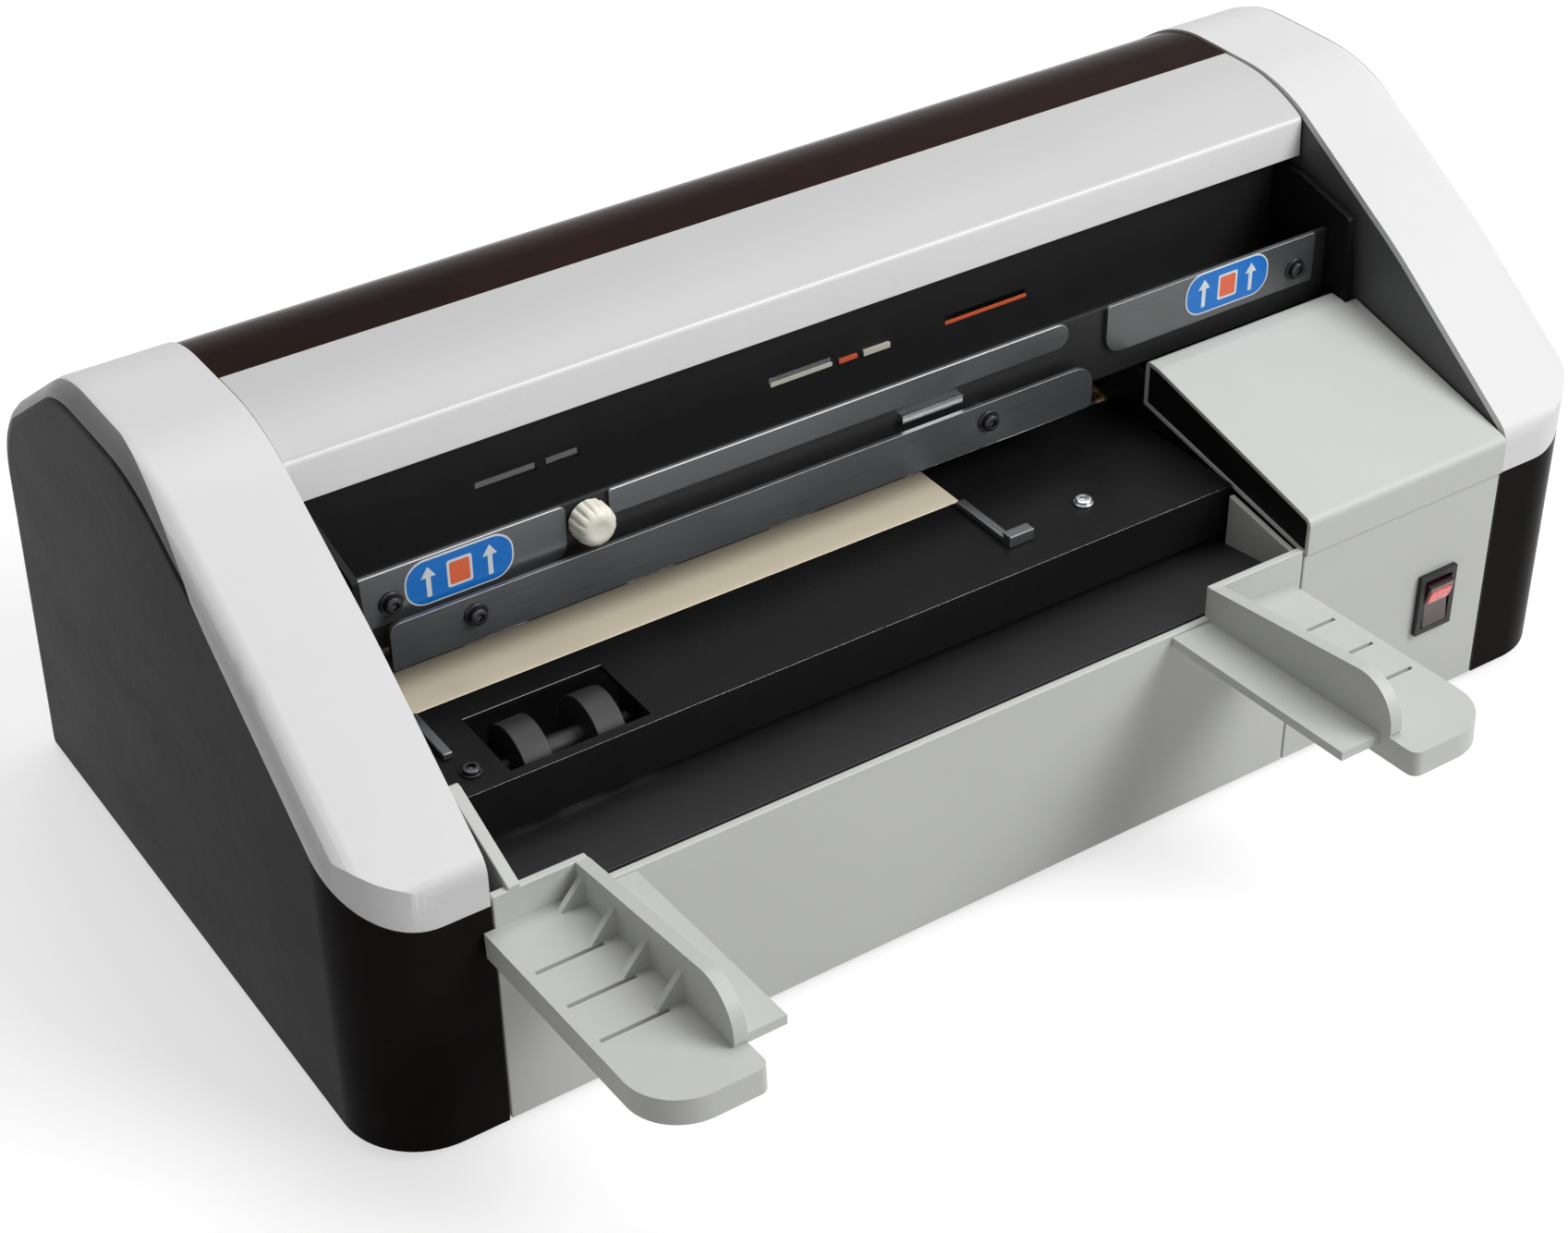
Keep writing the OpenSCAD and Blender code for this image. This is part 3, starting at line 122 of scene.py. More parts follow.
class Bench:
    """The node tree of a new material, or of the world that is handed in."""

    def __init__(self, name, world=None):
        self.owner = world or bpy.data.materials.new(name)
        self.owner.use_nodes = True
        self.tree = self.owner.node_tree
        self.tree.nodes.clear()

    def node(self, kind, settings=None, inputs=None, output=0):
        """Any node: its settings are set first, then the values or wires of its sockets."""
        made = self.tree.nodes.new(kind)
        for key, value in (settings or {}).items():
            setattr(made, key, value)
        for key, value in (inputs or {}).items():
            if isinstance(value, Wire):
                self.tree.links.new(value.socket, made.inputs[key])
            else:
                made.inputs[key].default_value = value
        return Wire(self, made.outputs[output])

    def place(self, stretch=(1, 1, 1)):
        """Metres on the piece itself, so that a pattern moves with it."""
        here = self.node("ShaderNodeTexCoord", output="Object")
        return self.node("ShaderNodeMapping", {"vector_type": "POINT"}, {"Vector": here, "Scale": stretch})

    def noise(self, scale, detail=2.0, stretch=(1, 1, 1), rough=0.5):
        return self.node("ShaderNodeTexNoise", {"noise_dimensions": "3D"}, {
            "Vector": self.place(stretch), "Scale": scale, "Detail": detail, "Roughness": rough})

    def cells(self, scale, feature="F1", output="Distance"):
        return self.node("ShaderNodeTexVoronoi", {"feature": feature},
                         {"Vector": self.place(), "Scale": scale}, output)

    def blend(self, amount, low, high):
        return self.node("ShaderNodeMix", {"data_type": "RGBA"}, {0: amount, 6: low, 7: high}, 2)

    def bump(self, height, depth, under=None):
        inputs = {"Height": height, "Distance": depth, "Strength": 1.0}
        if under:
            inputs["Normal"] = under
        return self.node("ShaderNodeBump", {}, inputs)

    def finish(self, varying, **constants):
        """A surface: varying sockets may take wires, constants are set on the shader itself."""
        inputs = {key.replace("_", " "): value for key, value in constants.items()}
        inputs.update(varying)
        self.end(self.node("ShaderNodeBsdfPrincipled", {}, inputs), "ShaderNodeOutputMaterial")
        return self.owner

    def end(self, surface, kind):
        """Closes the tree with an output node."""
        out = self.tree.nodes.new(kind)
        self.tree.links.new(surface.socket, out.inputs["Surface"])


def tint(colour, factor):
    """A colour made darker or lighter, with its alpha."""
    return tuple(min(1.0, c * factor) for c in colour) + (1.0,)


# %% [markdown]
# ## Moulded plastic
# The light covers are satin mouldings with a very fine spark-eroded grain. A noise as small as a fifth of a
# millimetre gives the grain as bump and roughness, and a slow noise shifts the colour a little, as thick and
# thin places of a moulding do. A flat colour would look like paper under soft light.

# %% Moulded plastics
def moulded(name, colour, rough, grain=1.0, drift=0.03):
    b = Bench(name)
    grit = b.noise(4200, 2)
    slow = b.noise(14, 3)
    rub = b.noise(90, 4, rough=0.65)
    shade = (slow + (rub - 0.5) * 0.35).clamp()
    return b.finish({
        "Base Color": b.blend(shade, tint(colour, 1 - drift), tint(colour, 1 + drift)),
        "Roughness": (rough + (rub - 0.5) * 0.12 + (grit - 0.5) * 0.10).clamp(0.05, 1),
        "Normal": b.bump(grit, 0.00003 * grain, b.bump(rub, 0.00004)),
    }, Specular_IOR_Level=0.4)


# %% [markdown]
# ## Black gloss
# The side covers and the window in the lid are polished mouldings. Their faces aren't truly flat: a wave some
# millimetres long makes reflections swim, and hands leave duller patches. Both go in as bump and roughness.
# The patches' pattern also blends the colour towards a warm tint: painted red-brown reflection streaks.
# A white studio would turn a black gloss grey at low angles, so the two black ones get a low shine and index.

# %% Gloss plastics
def glossy(name, colour, rough, reflection_tint, shine=0.5, coat=0.0, index=1.45):
    b = Bench(name)
    peel = b.noise(170, 2)
    smear_and_reflection = b.noise(22, 5, (1, 1, 2.2), 0.6)
    dust = b.cells(1400)
    speck = 1 - dust.step(0.16, 0.05)
    return b.finish({
        # painted reflection: the smear pattern blends the colour towards the warm tint of reflection streaks
        "Base Color": b.blend((smear_and_reflection * 1.3 - 0.2).clamp(), (*colour, 1), (*reflection_tint, 1)),
        "Roughness": (rough + (smear_and_reflection - 0.45) * 0.22 + speck * 0.10).clamp(0.04, 1),
        "Normal": b.bump(peel, 0.00005),
    }, Specular_IOR_Level=shine, IOR=index, Coat_Weight=coat, Coat_Roughness=0.08)


# %% [markdown]
# ## Painted and bare metal
# Powder paint has rounded pimples. A ground or drawn bar has long hairlines along its length, made here by a
# noise that is stretched 50 times along X. Zinc plating shows faint crystal patches. Pictures of metal would
# have to be unwrapped onto every piece; these patterns live in space and need no unwrapping.

# %% Metals
def powder(name, colour, rough, shine=0.45):
    b = Bench(name)
    pimple = b.cells(1500, "SMOOTH_F1")
    wear = b.noise(45, 5, rough=0.7)
    return b.finish({
        "Base Color": b.blend(wear, tint(colour, 0.8), tint(colour, 1.35)),
        "Roughness": (rough + (wear - 0.5) * 0.25).clamp(0.1, 1),
        "Normal": b.bump(pimple, 0.00006),
    }, Specular_IOR_Level=shine)


def drawn(name, colour, rough, metal=1.0, along=(0.02, 1, 1)):
    b = Bench(name)
    hair = b.noise(2600, 3, along, 0.6)
    stain = b.noise(35, 4)
    return b.finish({
        "Base Color": b.blend((hair * 0.6 + stain * 0.4).clamp(), tint(colour, 0.78), tint(colour, 1.15)),
        "Roughness": (rough + (hair - 0.5) * 0.25 + (stain - 0.5) * 0.15).clamp(0.08, 1),
        "Metallic": metal,
        "Normal": b.bump(hair, 0.000012),
    })


def plated(name, colour, rough):
    b = Bench(name)
    crystal = b.cells(260, "F1", "Color")
    patch = b.noise(420, 2)
    return b.finish({
        "Base Color": b.blend(patch, tint(colour, 0.85), tint(colour, 1.1)),
        "Roughness": (rough + (crystal - 0.5) * 0.2).clamp(0.1, 1),
        "Metallic": 0.9,
        "Normal": b.bump(patch, 0.00001),
    })


# %% [markdown]
# ## Small finishes
# Rubber is dull and gathers pale dust, sintered bronze is speckled with pores, and the circuit board shows
# its copper tracks as slightly lighter green lines under the lacquer. Printed labels are smooth with a trace
# of ink grain. The switch's lens has small prisms, and its bright red glows a little: a painted highlight on
# the rocker's upper half.

# %% Rubber, bronze, board, print, lens
def rubbery(name, colour):
    b = Bench(name)
    skin = b.noise(1800, 3)
    dust = b.noise(60, 5, rough=0.7)
    return b.finish({
        "Base Color": b.blend((dust - 0.35).clamp(), tint(colour, 1.0), tint(colour, 3.2)),
        "Roughness": (0.72 + (skin - 0.5) * 0.25).clamp(),
        "Normal": b.bump(skin, 0.00004),
    }, Specular_IOR_Level=0.3)


def sintered(name, colour):
    b = Bench(name)
    pores = b.cells(3200)
    tone = b.noise(300, 3)
    return b.finish({
        "Base Color": b.blend(pores.step(0.2, 0.25), tint(colour, 0.5), tint(colour, 1.1)),
        "Roughness": (0.36 + (tone - 0.5) * 0.3).clamp(),
        "Metallic": 1.0,
        "Normal": b.bump(pores, 0.00002),
    })


def circuit(name):
    b = Bench(name)
    lines = b.node("ShaderNodeTexBrick", {"offset": 0.5, "squash": 1.0},
                   {"Vector": b.place(), "Scale": 210.0, "Mortar Size": 0.06, "Mortar Smooth": 0.1,
                    "Color1": (0.02, 0.13, 0.05, 1), "Color2": (0.025, 0.15, 0.06, 1),
                    "Mortar": (0.07, 0.30, 0.13, 1)})
    tone = b.noise(200, 2)
    return b.finish({
        "Base Color": lines,
        "Roughness": (0.3 + tone * 0.2).clamp(),
        "Normal": b.bump(tone, 0.00002),
    })


def printed(name, colour):
    b = Bench(name)
    ink = b.noise(1600, 3)
    return b.finish({
        "Base Color": b.blend(ink, tint(colour, 0.9), tint(colour, 1.08)),
        "Roughness": (0.34 + (ink - 0.5) * 0.2).clamp(),
        "Normal": b.bump(ink, 0.00001),
    })


# a lens whose bright red and glow are a painted highlight, not the light of a lamp
def lens_painted_highlight(name, colour):
    b = Bench(name)
    prisms = b.cells(900, "F1")
    painted_glow = b.blend((prisms * 1.6).clamp(), tint(colour, 1.25), tint(colour, 0.6))
    return b.finish({
        "Base Color": painted_glow,
        "Emission Color": painted_glow,
        "Roughness": (0.12 + prisms * 0.2).clamp(),
        "Normal": b.bump(prisms, 0.00008),
    }, Emission_Strength=0.45, Coat_Weight=0.6)


# %% [markdown]
# ## The finishes by name
# The solid model gives each part a finish by name. The first list makes one material for each of those names.
# The lines under it are looks for single faces that share a part with another finish: a label, and the
# painted reflection on a rolled edge and the painted highlights on a lip and on bare edges.

# %% Finishes
finishes = {
    "light_cover": moulded("light_cover", (0.70, 0.705, 0.70), 0.42),
    "grey_cover": moulded("grey_cover", (0.56, 0.57, 0.548), 0.46, 1.3, 0.04),
    "black_gloss": glossy("black_gloss", (0.0070, 0.0070, 0.0066), 0.24, (0.013, 0.0096, 0.0088),
                          shine=0.06, index=1.2),
    "smoked_gloss": glossy("smoked_gloss", (0.006, 0.004, 0.0036), 0.12, (0.030, 0.009, 0.006),
                           shine=0.06, index=1.25),
    "black_matte": moulded("black_matte", (0.012, 0.012, 0.013), 0.5, 2.0, 0.2),
    "black_steel": powder("black_steel", (0.008, 0.008, 0.0084), 0.38, 0.09),
    "dark_metal": drawn("dark_metal", (0.16, 0.165, 0.17), 0.34, 0.75),
    "zinc_steel": plated("zinc_steel", (0.50, 0.51, 0.51), 0.34),
    "bright_steel": drawn("bright_steel", (0.62, 0.63, 0.64), 0.26, 1.0),
    "screw_black": drawn("screw_black", (0.06, 0.06, 0.065), 0.35, 0.9, (1, 1, 0.2)),
    "bronze": sintered("bronze", (0.52, 0.36, 0.16)),
    "white_nylon": moulded("white_nylon", (0.72, 0.70, 0.62), 0.38),
    "ivory_plastic": moulded("ivory_plastic", (0.84, 0.815, 0.71), 0.30),
    "beige_plastic": moulded("beige_plastic", (0.92, 0.82, 0.63), 0.5, 2.0, 0.05),
    "red_plastic": glossy("red_plastic", (0.55, 0.02, 0.012), 0.20, (0.75, 0.06, 0.03), coat=0.5),
    "green_board": circuit("green_board"),
    "rubber": rubbery("rubber", (0.016, 0.016, 0.017)),
}
# bare steel for sheared edges, laid only on edge faces that look up or forward, so it also paints their
# highlight lines
bare_edge_highlight = drawn("bare_edge_highlight", (0.30, 0.305, 0.31), 0.42, 0.9)
# a paler copy of the hood's grey for the faces of its lip that look forward: a painted highlight
lip_painted_highlight = moulded("lip_painted_highlight", (0.84, 0.845, 0.84), 0.3)
hood_grey = moulded("hood_grey", (0.56, 0.565, 0.56), 0.38)
charcoal = moulded("charcoal", (0.075, 0.075, 0.077), 0.42, 1.5, 0.12)
# a satin grey for the up-facing rolled edge of the black covers: a painted reflection of the studio light
rim_painted_reflection = moulded("rim_painted_reflection", (0.16, 0.16, 0.163), 0.34, 0.8, 0.12)
rocker_dark = glossy("rocker_dark", (0.020, 0.005, 0.006), 0.16, (0.055, 0.018, 0.020), coat=0.5)
label_blue = printed("label_blue", (0.002, 0.175, 0.62))
label_white = printed("label_white", (0.74, 0.80, 0.84))
label_orange = printed("label_orange", (0.84, 0.15, 0.06))
print("finishes:", len(bpy.data.materials))

# %% [markdown]
# ## Rounding what the solids leave sharp
# Real edges catch a line of light. A plate or a moulding comes in with sharp edges, so its mesh is copied,
# its flat triangles are joined again to whole faces, and its outward edges get a small round. A shader can
# fake such an edge, but only real faces show it in every view and can carry bare metal, which on some plates
# also paints their highlight lines. Where the rounding would spoil a mesh, the copy stays as it came.

# %% What the record says of a node
def slot_of(node):
    """The name of the node's finish."""
    return next(part["material_slot"] for part in frame["record"]["subparts"] if part["node"] == node)


def body_of(node):
    """The name of the moving body that carries the node."""
    return next(b for b, nodes in frame["record"]["behaviour"]["bodies"].items() if node in nodes)


print("the hood rides on", body_of("hood"))


# %% From a mesh to a piece
def add_piece(name, bm, material, body, slot, replaced=(), angle=28, also=()):
    """Turns a bmesh into an object that rides on a body; edges sharper than angle stay sharp."""
    mesh = bpy.data.meshes.new(name)
    bm.normal_update()
    bm.to_mesh(mesh)
    bm.free()
    for face in mesh.polygons:
        face.use_smooth = True
    mesh.set_sharp_from_angle(angle=math.radians(angle))
    for look in (material, *also):
        mesh.materials.append(look)
    piece = bpy.data.objects.new(name, mesh)
    bpy.context.scene.collection.objects.link(piece)
    weights = piece.modifiers.new("even_normals", "WEIGHTED_NORMAL")
    weights.keep_sharp = True
    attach(piece, body)
    if replaced:
        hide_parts(*replaced)
    return piece


# %% Rounding helpers
SAME_POINT = 1e-6
FLAT_ANGLE = math.radians(0.5)
SHARP_ANGLE = math.radians(32)
MOST_GROWTH = 0.2 * MM
ROUND_STEPS = 3


def sound(bm):
    """Whether the mesh is closed."""
    return all(len(edge.link_faces) == 2 for edge in bm.edges)


def node_bmesh(node):
    """A copy of a solid's mesh, with its flat triangles joined to whole faces."""
    source = frame["nodes"][node]
    bm = bmesh.new()
    bm.from_mesh(source.data)
    bm.transform(source.matrix_world)
    bmesh.ops.remove_doubles(bm, verts=bm.verts, dist=SAME_POINT)
    bmesh.ops.dissolve_limit(bm, angle_limit=FLAT_ANGLE, verts=bm.verts, edges=bm.edges)
    return bm


def round_edges(bm, width, steps):
    """Rounds the outward edges and returns the new faces."""
    sharp = [e for e in bm.edges
             if len(e.link_faces) == 2 and e.is_convex and e.calc_face_angle(0) > SHARP_ANGLE]
    return bmesh.ops.bevel(bm, geom=sharp, offset=width, segments=steps, profile=0.5, affect="EDGES",
                           clamp_overlap=True)["faces"]


def size_of(bm):
    """The lengths of the mesh along X, Y and Z."""
    return [max(v.co[i] for v in bm.verts) - min(v.co[i] for v in bm.verts) for i in range(3)]


def dress(node, width_mm, bare_and_highlit=None, slot=None, pick=None, also=()):
    """Replaces a node by its own shape with rounded outward edges.

    worn(face) says which of the rounded edge faces get bare metal, which there also paints the edge's
    highlight.
    pick(face) gives any face the number of a look in also, counted from 1, or 0 for the node's own finish.
    """
    slot = slot or slot_of(node)
    bm = node_bmesh(node)
    before, whole = size_of(bm), sound(bm)
    edges = round_edges(bm, width_mm * MM, ROUND_STEPS)
    grown = max(abs(a - b) for a, b in zip(before, size_of(bm)))
    if grown > MOST_GROWTH or (whole and not sound(bm)):
        bm.free()
        bm = node_bmesh(node)
        edges = []
    bm.normal_update()
    if pick:
        for face in bm.faces:
            face.material_index = pick(face)
    if bare_and_highlit:
        also = (*also, bare_edge_highlight)
        for face in edges:
            if bare_and_highlit(face):
                face.material_index = len(also)
    add_piece(node + "_rounded", bm, finishes[slot], body_of(node), slot, (node,), also=also)
    return node, len(edges)


# %% [markdown]
# ## The rounded pieces
# Moulded covers have generous edges, sheet metal hardly any. Each node gets the width of its round in
# millimetres. The hood also gets two looks: a grey top, and a paler copy on the faces that look forward, which
# paints the highlight along its lip.

# %% Rounded pieces
rounded_widths = {
    "left_band": 0.5, "right_band": 0.5, "smoked_window": 0.6, "box_side_plate": 0.2,
    "front_panel": 0.5, "box_hood": 1.2, "switch_panel": 0.4, "rear_panel": 0.5, "transfer_plate": 0.3,
    "inner_cover": 0.3, "left_guide": 1.1, "right_guide": 1.1, "switch_bezel": 0.4,
    "mains_inlet": 0.4, "base_plate": 0.4, "left_frame": 0.3, "right_frame": 0.3, "mid_frame": 0.3,
    "sheet_hold_wheels": 0.4, "bed_knife": 0.1, "exit_chutes": 0.2, "sheet_floor": 0.2,
    "gear_motor": 0.8, "feet": 1.0,
}
for done in (dress(node, width) for node, width in rounded_widths.items()):
    print("rounded", *done)


def hood_look(face):
    """The painted highlight of the lip where the face looks forward, else the grey top's."""
    return 2 if face.normal.y < -0.8 else 1


print("rounded", *dress("hood", 0.8, pick=hood_look, also=(hood_grey, lip_painted_highlight)))

# %% [markdown]
# ## Side covers
# One moulding, three looks: polished black outside, a satin charcoal where its wall stands beside the open
# recess, and a satin grey on the faces of the rolled edge that look up and out, over the side face, which the
# pale band leaves bare. That grey is a painted reflection of the studio light in the black gloss. Three meshes
# could carry them, but a mould with textured parts makes one piece, so each face takes its look from the way
# it points.

# %% Side covers
POLISHED, CHARCOAL_WALL, ROLLED_EDGE_REFLECTION = range(3)


def cover_look(sign):
    """The look of a side cover's faces; sign is -1 on the left and 1 on the right."""
    def pick(face):
        outward, upward = face.normal.x * sign, face.normal.z
        if outward < -0.7:
            return CHARCOAL_WALL
        # the rolled edge's faces that look up and out get the painted reflection
        return ROLLED_EDGE_REFLECTION if 0.08 < outward < 0.96 and upward > 0.15 else POLISHED
    return pick


for node, sign in (("left_side_shell", -1), ("right_side_shell", 1)):
    print("rounded", *dress(node, 0.4, pick=cover_look(sign), also=(charcoal, rim_painted_reflection)))

# %% [markdown]
# ## Sheared plates
# The guide plates, the guard and the deck are painted sheet steel. A shear leaves their edges bare, and
# hands and paper keep them bright. The bare metal goes only on the faces of the edge round that look up or
# forward (on the rails, those that look left), so it also paints the highlight: the top and front edges show
# as thin silver lines. A mask on curvature would brighten every edge.

# %% Sheared plates
LEAN = 0.3


def up_or_front(face):
    """Leans up, and not much to the rear."""
    return face.normal.z > LEAN and face.normal.y < 0.35


def up_and_front(face):
    return face.normal.z > LEAN and face.normal.y < -LEAN


def towards_left(face):
    return face.normal.x < -LEAN


# the last column picks the edge faces that get bare metal, which also paints their highlight lines
for node, width, slot, bare_and_highlit_faces in (
        ("left_guide_plate", 0.35, "dark_metal", up_or_front),
        ("mid_guide_bar", 0.4, "dark_metal", up_or_front),
        ("right_guide_plate", 0.35, "dark_metal", up_or_front),
        ("guard_plate", 0.4, "dark_metal", up_or_front),
        ("feed_deck", 0.35, "black_steel", up_and_front),
        ("strip_guide_rails", 0.4, "dark_metal", towards_left)):
    print("sheared", *dress(node, width, bare_and_highlit=bare_and_highlit_faces, slot=slot))

# %% [markdown]
# ## Power board
# The board carries a cooling block, a transistor, a transformer and a tall capacitor. They could be cut apart
# into meshes of their own, but in the solid they are one piece, so each face takes its finish by where it
# stands on the board.

# %% Power board
board_low = Vector(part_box("power_board")[0])
board_top = board_low.z + 9.7 * MM
front_row = board_low.y + 40 * MM
block_right = board_low.x + 31 * MM
transformer_right = board_low.x + 22 * MM
BOARD, BARE_BLOCK, BLACK_PART, BEIGE_PART = range(4)


def board_part(face):
    here = face.calc_center_median()
    if here.z < board_top:
        return BOARD
    if here.y < front_row:
        return BARE_BLOCK if here.x < block_right else BLACK_PART
    return BLACK_PART if here.x < transformer_right else BEIGE_PART


print("rounded", *dress("power_board", 0.3, pick=board_part,
                        also=(finishes["zinc_steel"], finishes["black_matte"], finishes["beige_plastic"])))

# %% [markdown]
# ## Rings along an axis
# Screw heads, washers and knobs are turned shapes. A modifier that turns a profile can't make a hexagon
# socket or a fluted grip. A stack of rings along an axis can: a ring's radius may change with the angle, so
# one helper makes round, six-sided and fluted shapes.

# %% Ring stacks
def ring_stack(bm, centre, axis, rings, count=60):
    """Skins rings of (height, radius) in millimetres, closed at both ends; a radius may be a function."""
    turn = Vector(axis).to_track_quat("Z", "Y").to_matrix()
    loops = []
    for height, radius in rings:
        loop = []
        for k in range(count):
            angle = 2 * math.pi * k / count
            r = radius(angle) if callable(radius) else radius
            spoke = Vector((r * math.cos(angle), r * math.sin(angle), height))
            loop.append(bm.verts.new(centre + turn @ spoke * MM))
        loops.append(loop)
    for low, high in zip(loops, loops[1:]):
        for k in range(count):
            n = (k + 1) % count
            bm.faces.new((low[k], low[n], high[n], high[k]))
    for loop, order in ((loops[0], -1), (loops[-1], 1)):
        middle = bm.verts.new(sum((v.co for v in loop), Vector()) / count)
        for k in range(count):
            bm.faces.new((*(loop[k], loop[(k + 1) % count])[::order], middle))


def hexagon(across):
    """The radius of a hexagon, as wide as across between its flats, by angle."""
    return lambda angle: across / 2 / math.cos((angle + math.pi / 6) % (math.pi / 3) - math.pi / 6)


def fluted(radius, depth, flutes):
    """A radius with a number of shallow grooves, by angle."""
    return lambda angle: radius - depth * (0.5 + 0.5 * math.cos(flutes * angle)) ** 3


# %% [markdown]
# ## Screws
# Four socket screws with washers hold the plates, and two low ones the deck; the deck's right one is bare.
# The solid's screws are plain cylinders, so these replace them: shank, washer, domed head and a six-sided
# socket, all in one stack of rings.

# %% Screw helper
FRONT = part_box("front_panel")[0][1]
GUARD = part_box("guard_plate")[0][1]
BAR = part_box("mid_guide_bar")[0][1]
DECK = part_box("feed_deck")[1][2]
SHANK_LENGTH, SHANK, KEY = 4, 1.4, 2.5


def screw(bm, place, axis, washer, head, tall):
    """A screw whose head stands tall over the place; washer, head and tall are in millimetres."""
    ring_stack(bm, place, axis, [
        (-SHANK_LENGTH, SHANK), (0, SHANK),
        (0, washer), (0.15, washer + 0.12), (0.6, washer + 0.12), (0.75, washer - 0.1),
        (0.75, head), (0.95, head + 0.1), (tall - 0.5, head + 0.1), (tall - 0.15, head - 0.15),
        (tall, head - 0.5),
        (tall, hexagon(KEY + 0.2)), (tall - 0.15, hexagon(KEY)), (tall - 1.2, hexagon(KEY)),
        (tall - 1.5, hexagon(1.2))])


print("plates at", round(BAR, 4), "and", round(GUARD, 4), "deck at", round(DECK, 4))

# %% Screws
plate_heads = {"washer": 3.5, "head": 2.5, "tall": 2.6}
deck_heads = {"washer": 3.0, "head": 2.6, "tall": 2.0}
forward, upward = (0, -1, 0), (0, 0, 1)
black_screws = bmesh.new()
on_plates = ((-162, 122, BAR), (160, 122, BAR), (-139, 111.3, GUARD), (36, 111.3, GUARD))
deck_left = Vector((-161 * MM, FRONT + 42 * MM, DECK))
deck_right = Vector((54 * MM, FRONT + 51 * MM, DECK))
for x, z, plate in on_plates:
    screw(black_screws, Vector((x * MM, plate, z * MM)), forward, **plate_heads)
screw(black_screws, deck_left, upward, **deck_heads)
add_piece("screws_black", black_screws, finishes["screw_black"], body_of("screws"), "screw_black",
          ("screws",))
bare_screw = bmesh.new()
screw(bare_screw, deck_right, upward, **deck_heads)
add_piece("screw_bare", bare_screw, finishes["bright_steel"], body_of("screws"), "bright_steel")
print("screws: 5 black, 1 bare")

# %% [markdown]
# ## Ivory knob
# A small moulded knob with a domed end and shallow flutes for the fingers. It replaces the plain knob and
# turns with its pin. The flutes fade out towards the dome, as a mould that opens along the axis leaves them.

# %% Knob
FLUTES = 14
knob_low, knob_high = (Vector(corner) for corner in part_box("offset_knob"))
knob_place = Vector(((knob_low.x + knob_high.x) / 2, BAR + 0.8 * MM, (knob_low.z + knob_high.z) / 2))
grip = fluted(6.25, 0.55, FLUTES)
knob = bmesh.new()
ring_stack(knob, knob_place, forward, [
    (-3.6, 4.0), (-2.7, 4.0), (-2.7, 2.4), (-0.4, 2.4), (-0.4, 5.6), (0, 5.9), (0.3, grip), (4.6, grip),
    (5.6, fluted(6.05, 0.45, FLUTES)), (6.5, fluted(5.6, 0.3, FLUTES)), (7.2, 4.9), (7.6, 4.0), (7.75, 3.0),
    (7.6, 2.4), (7.5, 1.0)], count=8 * FLUTES)
add_piece("knob_fluted", knob, finishes["ivory_plastic"], body_of("offset_knob"), "ivory_plastic",
          ("offset_knob",), angle=40)
print("knob at", [round(v, 4) for v in knob_place])

# %% [markdown]
# ## Flat trims
# Labels and small strips are thin plates that face the front. A picture on the plate would be flat and
# would blur close up. Here an outline is drawn in X and Z, given a thickness, and its rim gets a tiny round,
# so that it catches light like a sticker or a strip does.

# %% Flat trim helper
def pill(x, z, radius, steps=10):
    """A rectangle with round corners, as a list of (x, z)."""
    corners = ((x[1], z[1], 0), (x[0], z[1], 90), (x[0], z[0], 180), (x[1], z[0], 270))
    outline = []
    for cx, cz, start in corners:
        cx += radius if cx == x[0] else -radius
        cz += radius if cz == z[0] else -radius
        for k in range(steps + 1):
            angle = math.radians(start + 90 * k / steps)
            outline.append((cx + radius * math.cos(angle), cz + radius * math.sin(angle)))
    return outline


def trim(name, outline, back, thick, material, slot, rim=0.06):
    """Lays a plate of the outline, in millimetres, on the plane y = back, its face towards the front."""
    bm = bmesh.new()
    face = bm.faces.new([bm.verts.new((x * MM, back, z * MM)) for x, z in outline])
    out = bmesh.ops.extrude_face_region(bm, geom=[face])["geom"]
    lifted = [v for v in out if isinstance(v, bmesh.types.BMVert)]
    bmesh.ops.translate(bm, verts=lifted, vec=(0, -thick * MM, 0))
    bmesh.ops.recalc_face_normals(bm, faces=bm.faces)
    edges = {edge for vert in lifted for edge in vert.link_edges if edge.other_vert(vert) in lifted}
    bmesh.ops.bevel(bm, geom=list(edges), offset=rim * MM, segments=2, profile=0.5, affect="EDGES")
    return add_piece(name, bm, material, "machine", slot)


print("points in a round-cornered outline:", len(pill((0, 30), (0, 10), 4)))

# %% [markdown]
# ## Arrow labels
# Each tab plate has a blue sticker with a pale rim, two white arrows that point up, and an orange square in a
# white frame between them. It says only where a row goes in; it carries no words. The print is built as thin
# layers, one over the other, because their edges stay sharp however close the view comes.

# %% Arrow labels
def arrow(x, z, tall, head, stem):
    """An arrow that points up from (x, z)."""
    half, neck = head / 2, z + tall - head * 0.75
    return [(x - stem / 2, z), (x + stem / 2, z), (x + stem / 2, neck), (x + half, neck), (x, z + tall),
            (x - half, neck), (x - stem / 2, neck)]


def around(x, z, half_wide, half_tall):
    """The sides of a rectangle around a middle."""
    return (x - half_wide, x + half_wide), (z - half_tall, z + half_tall)


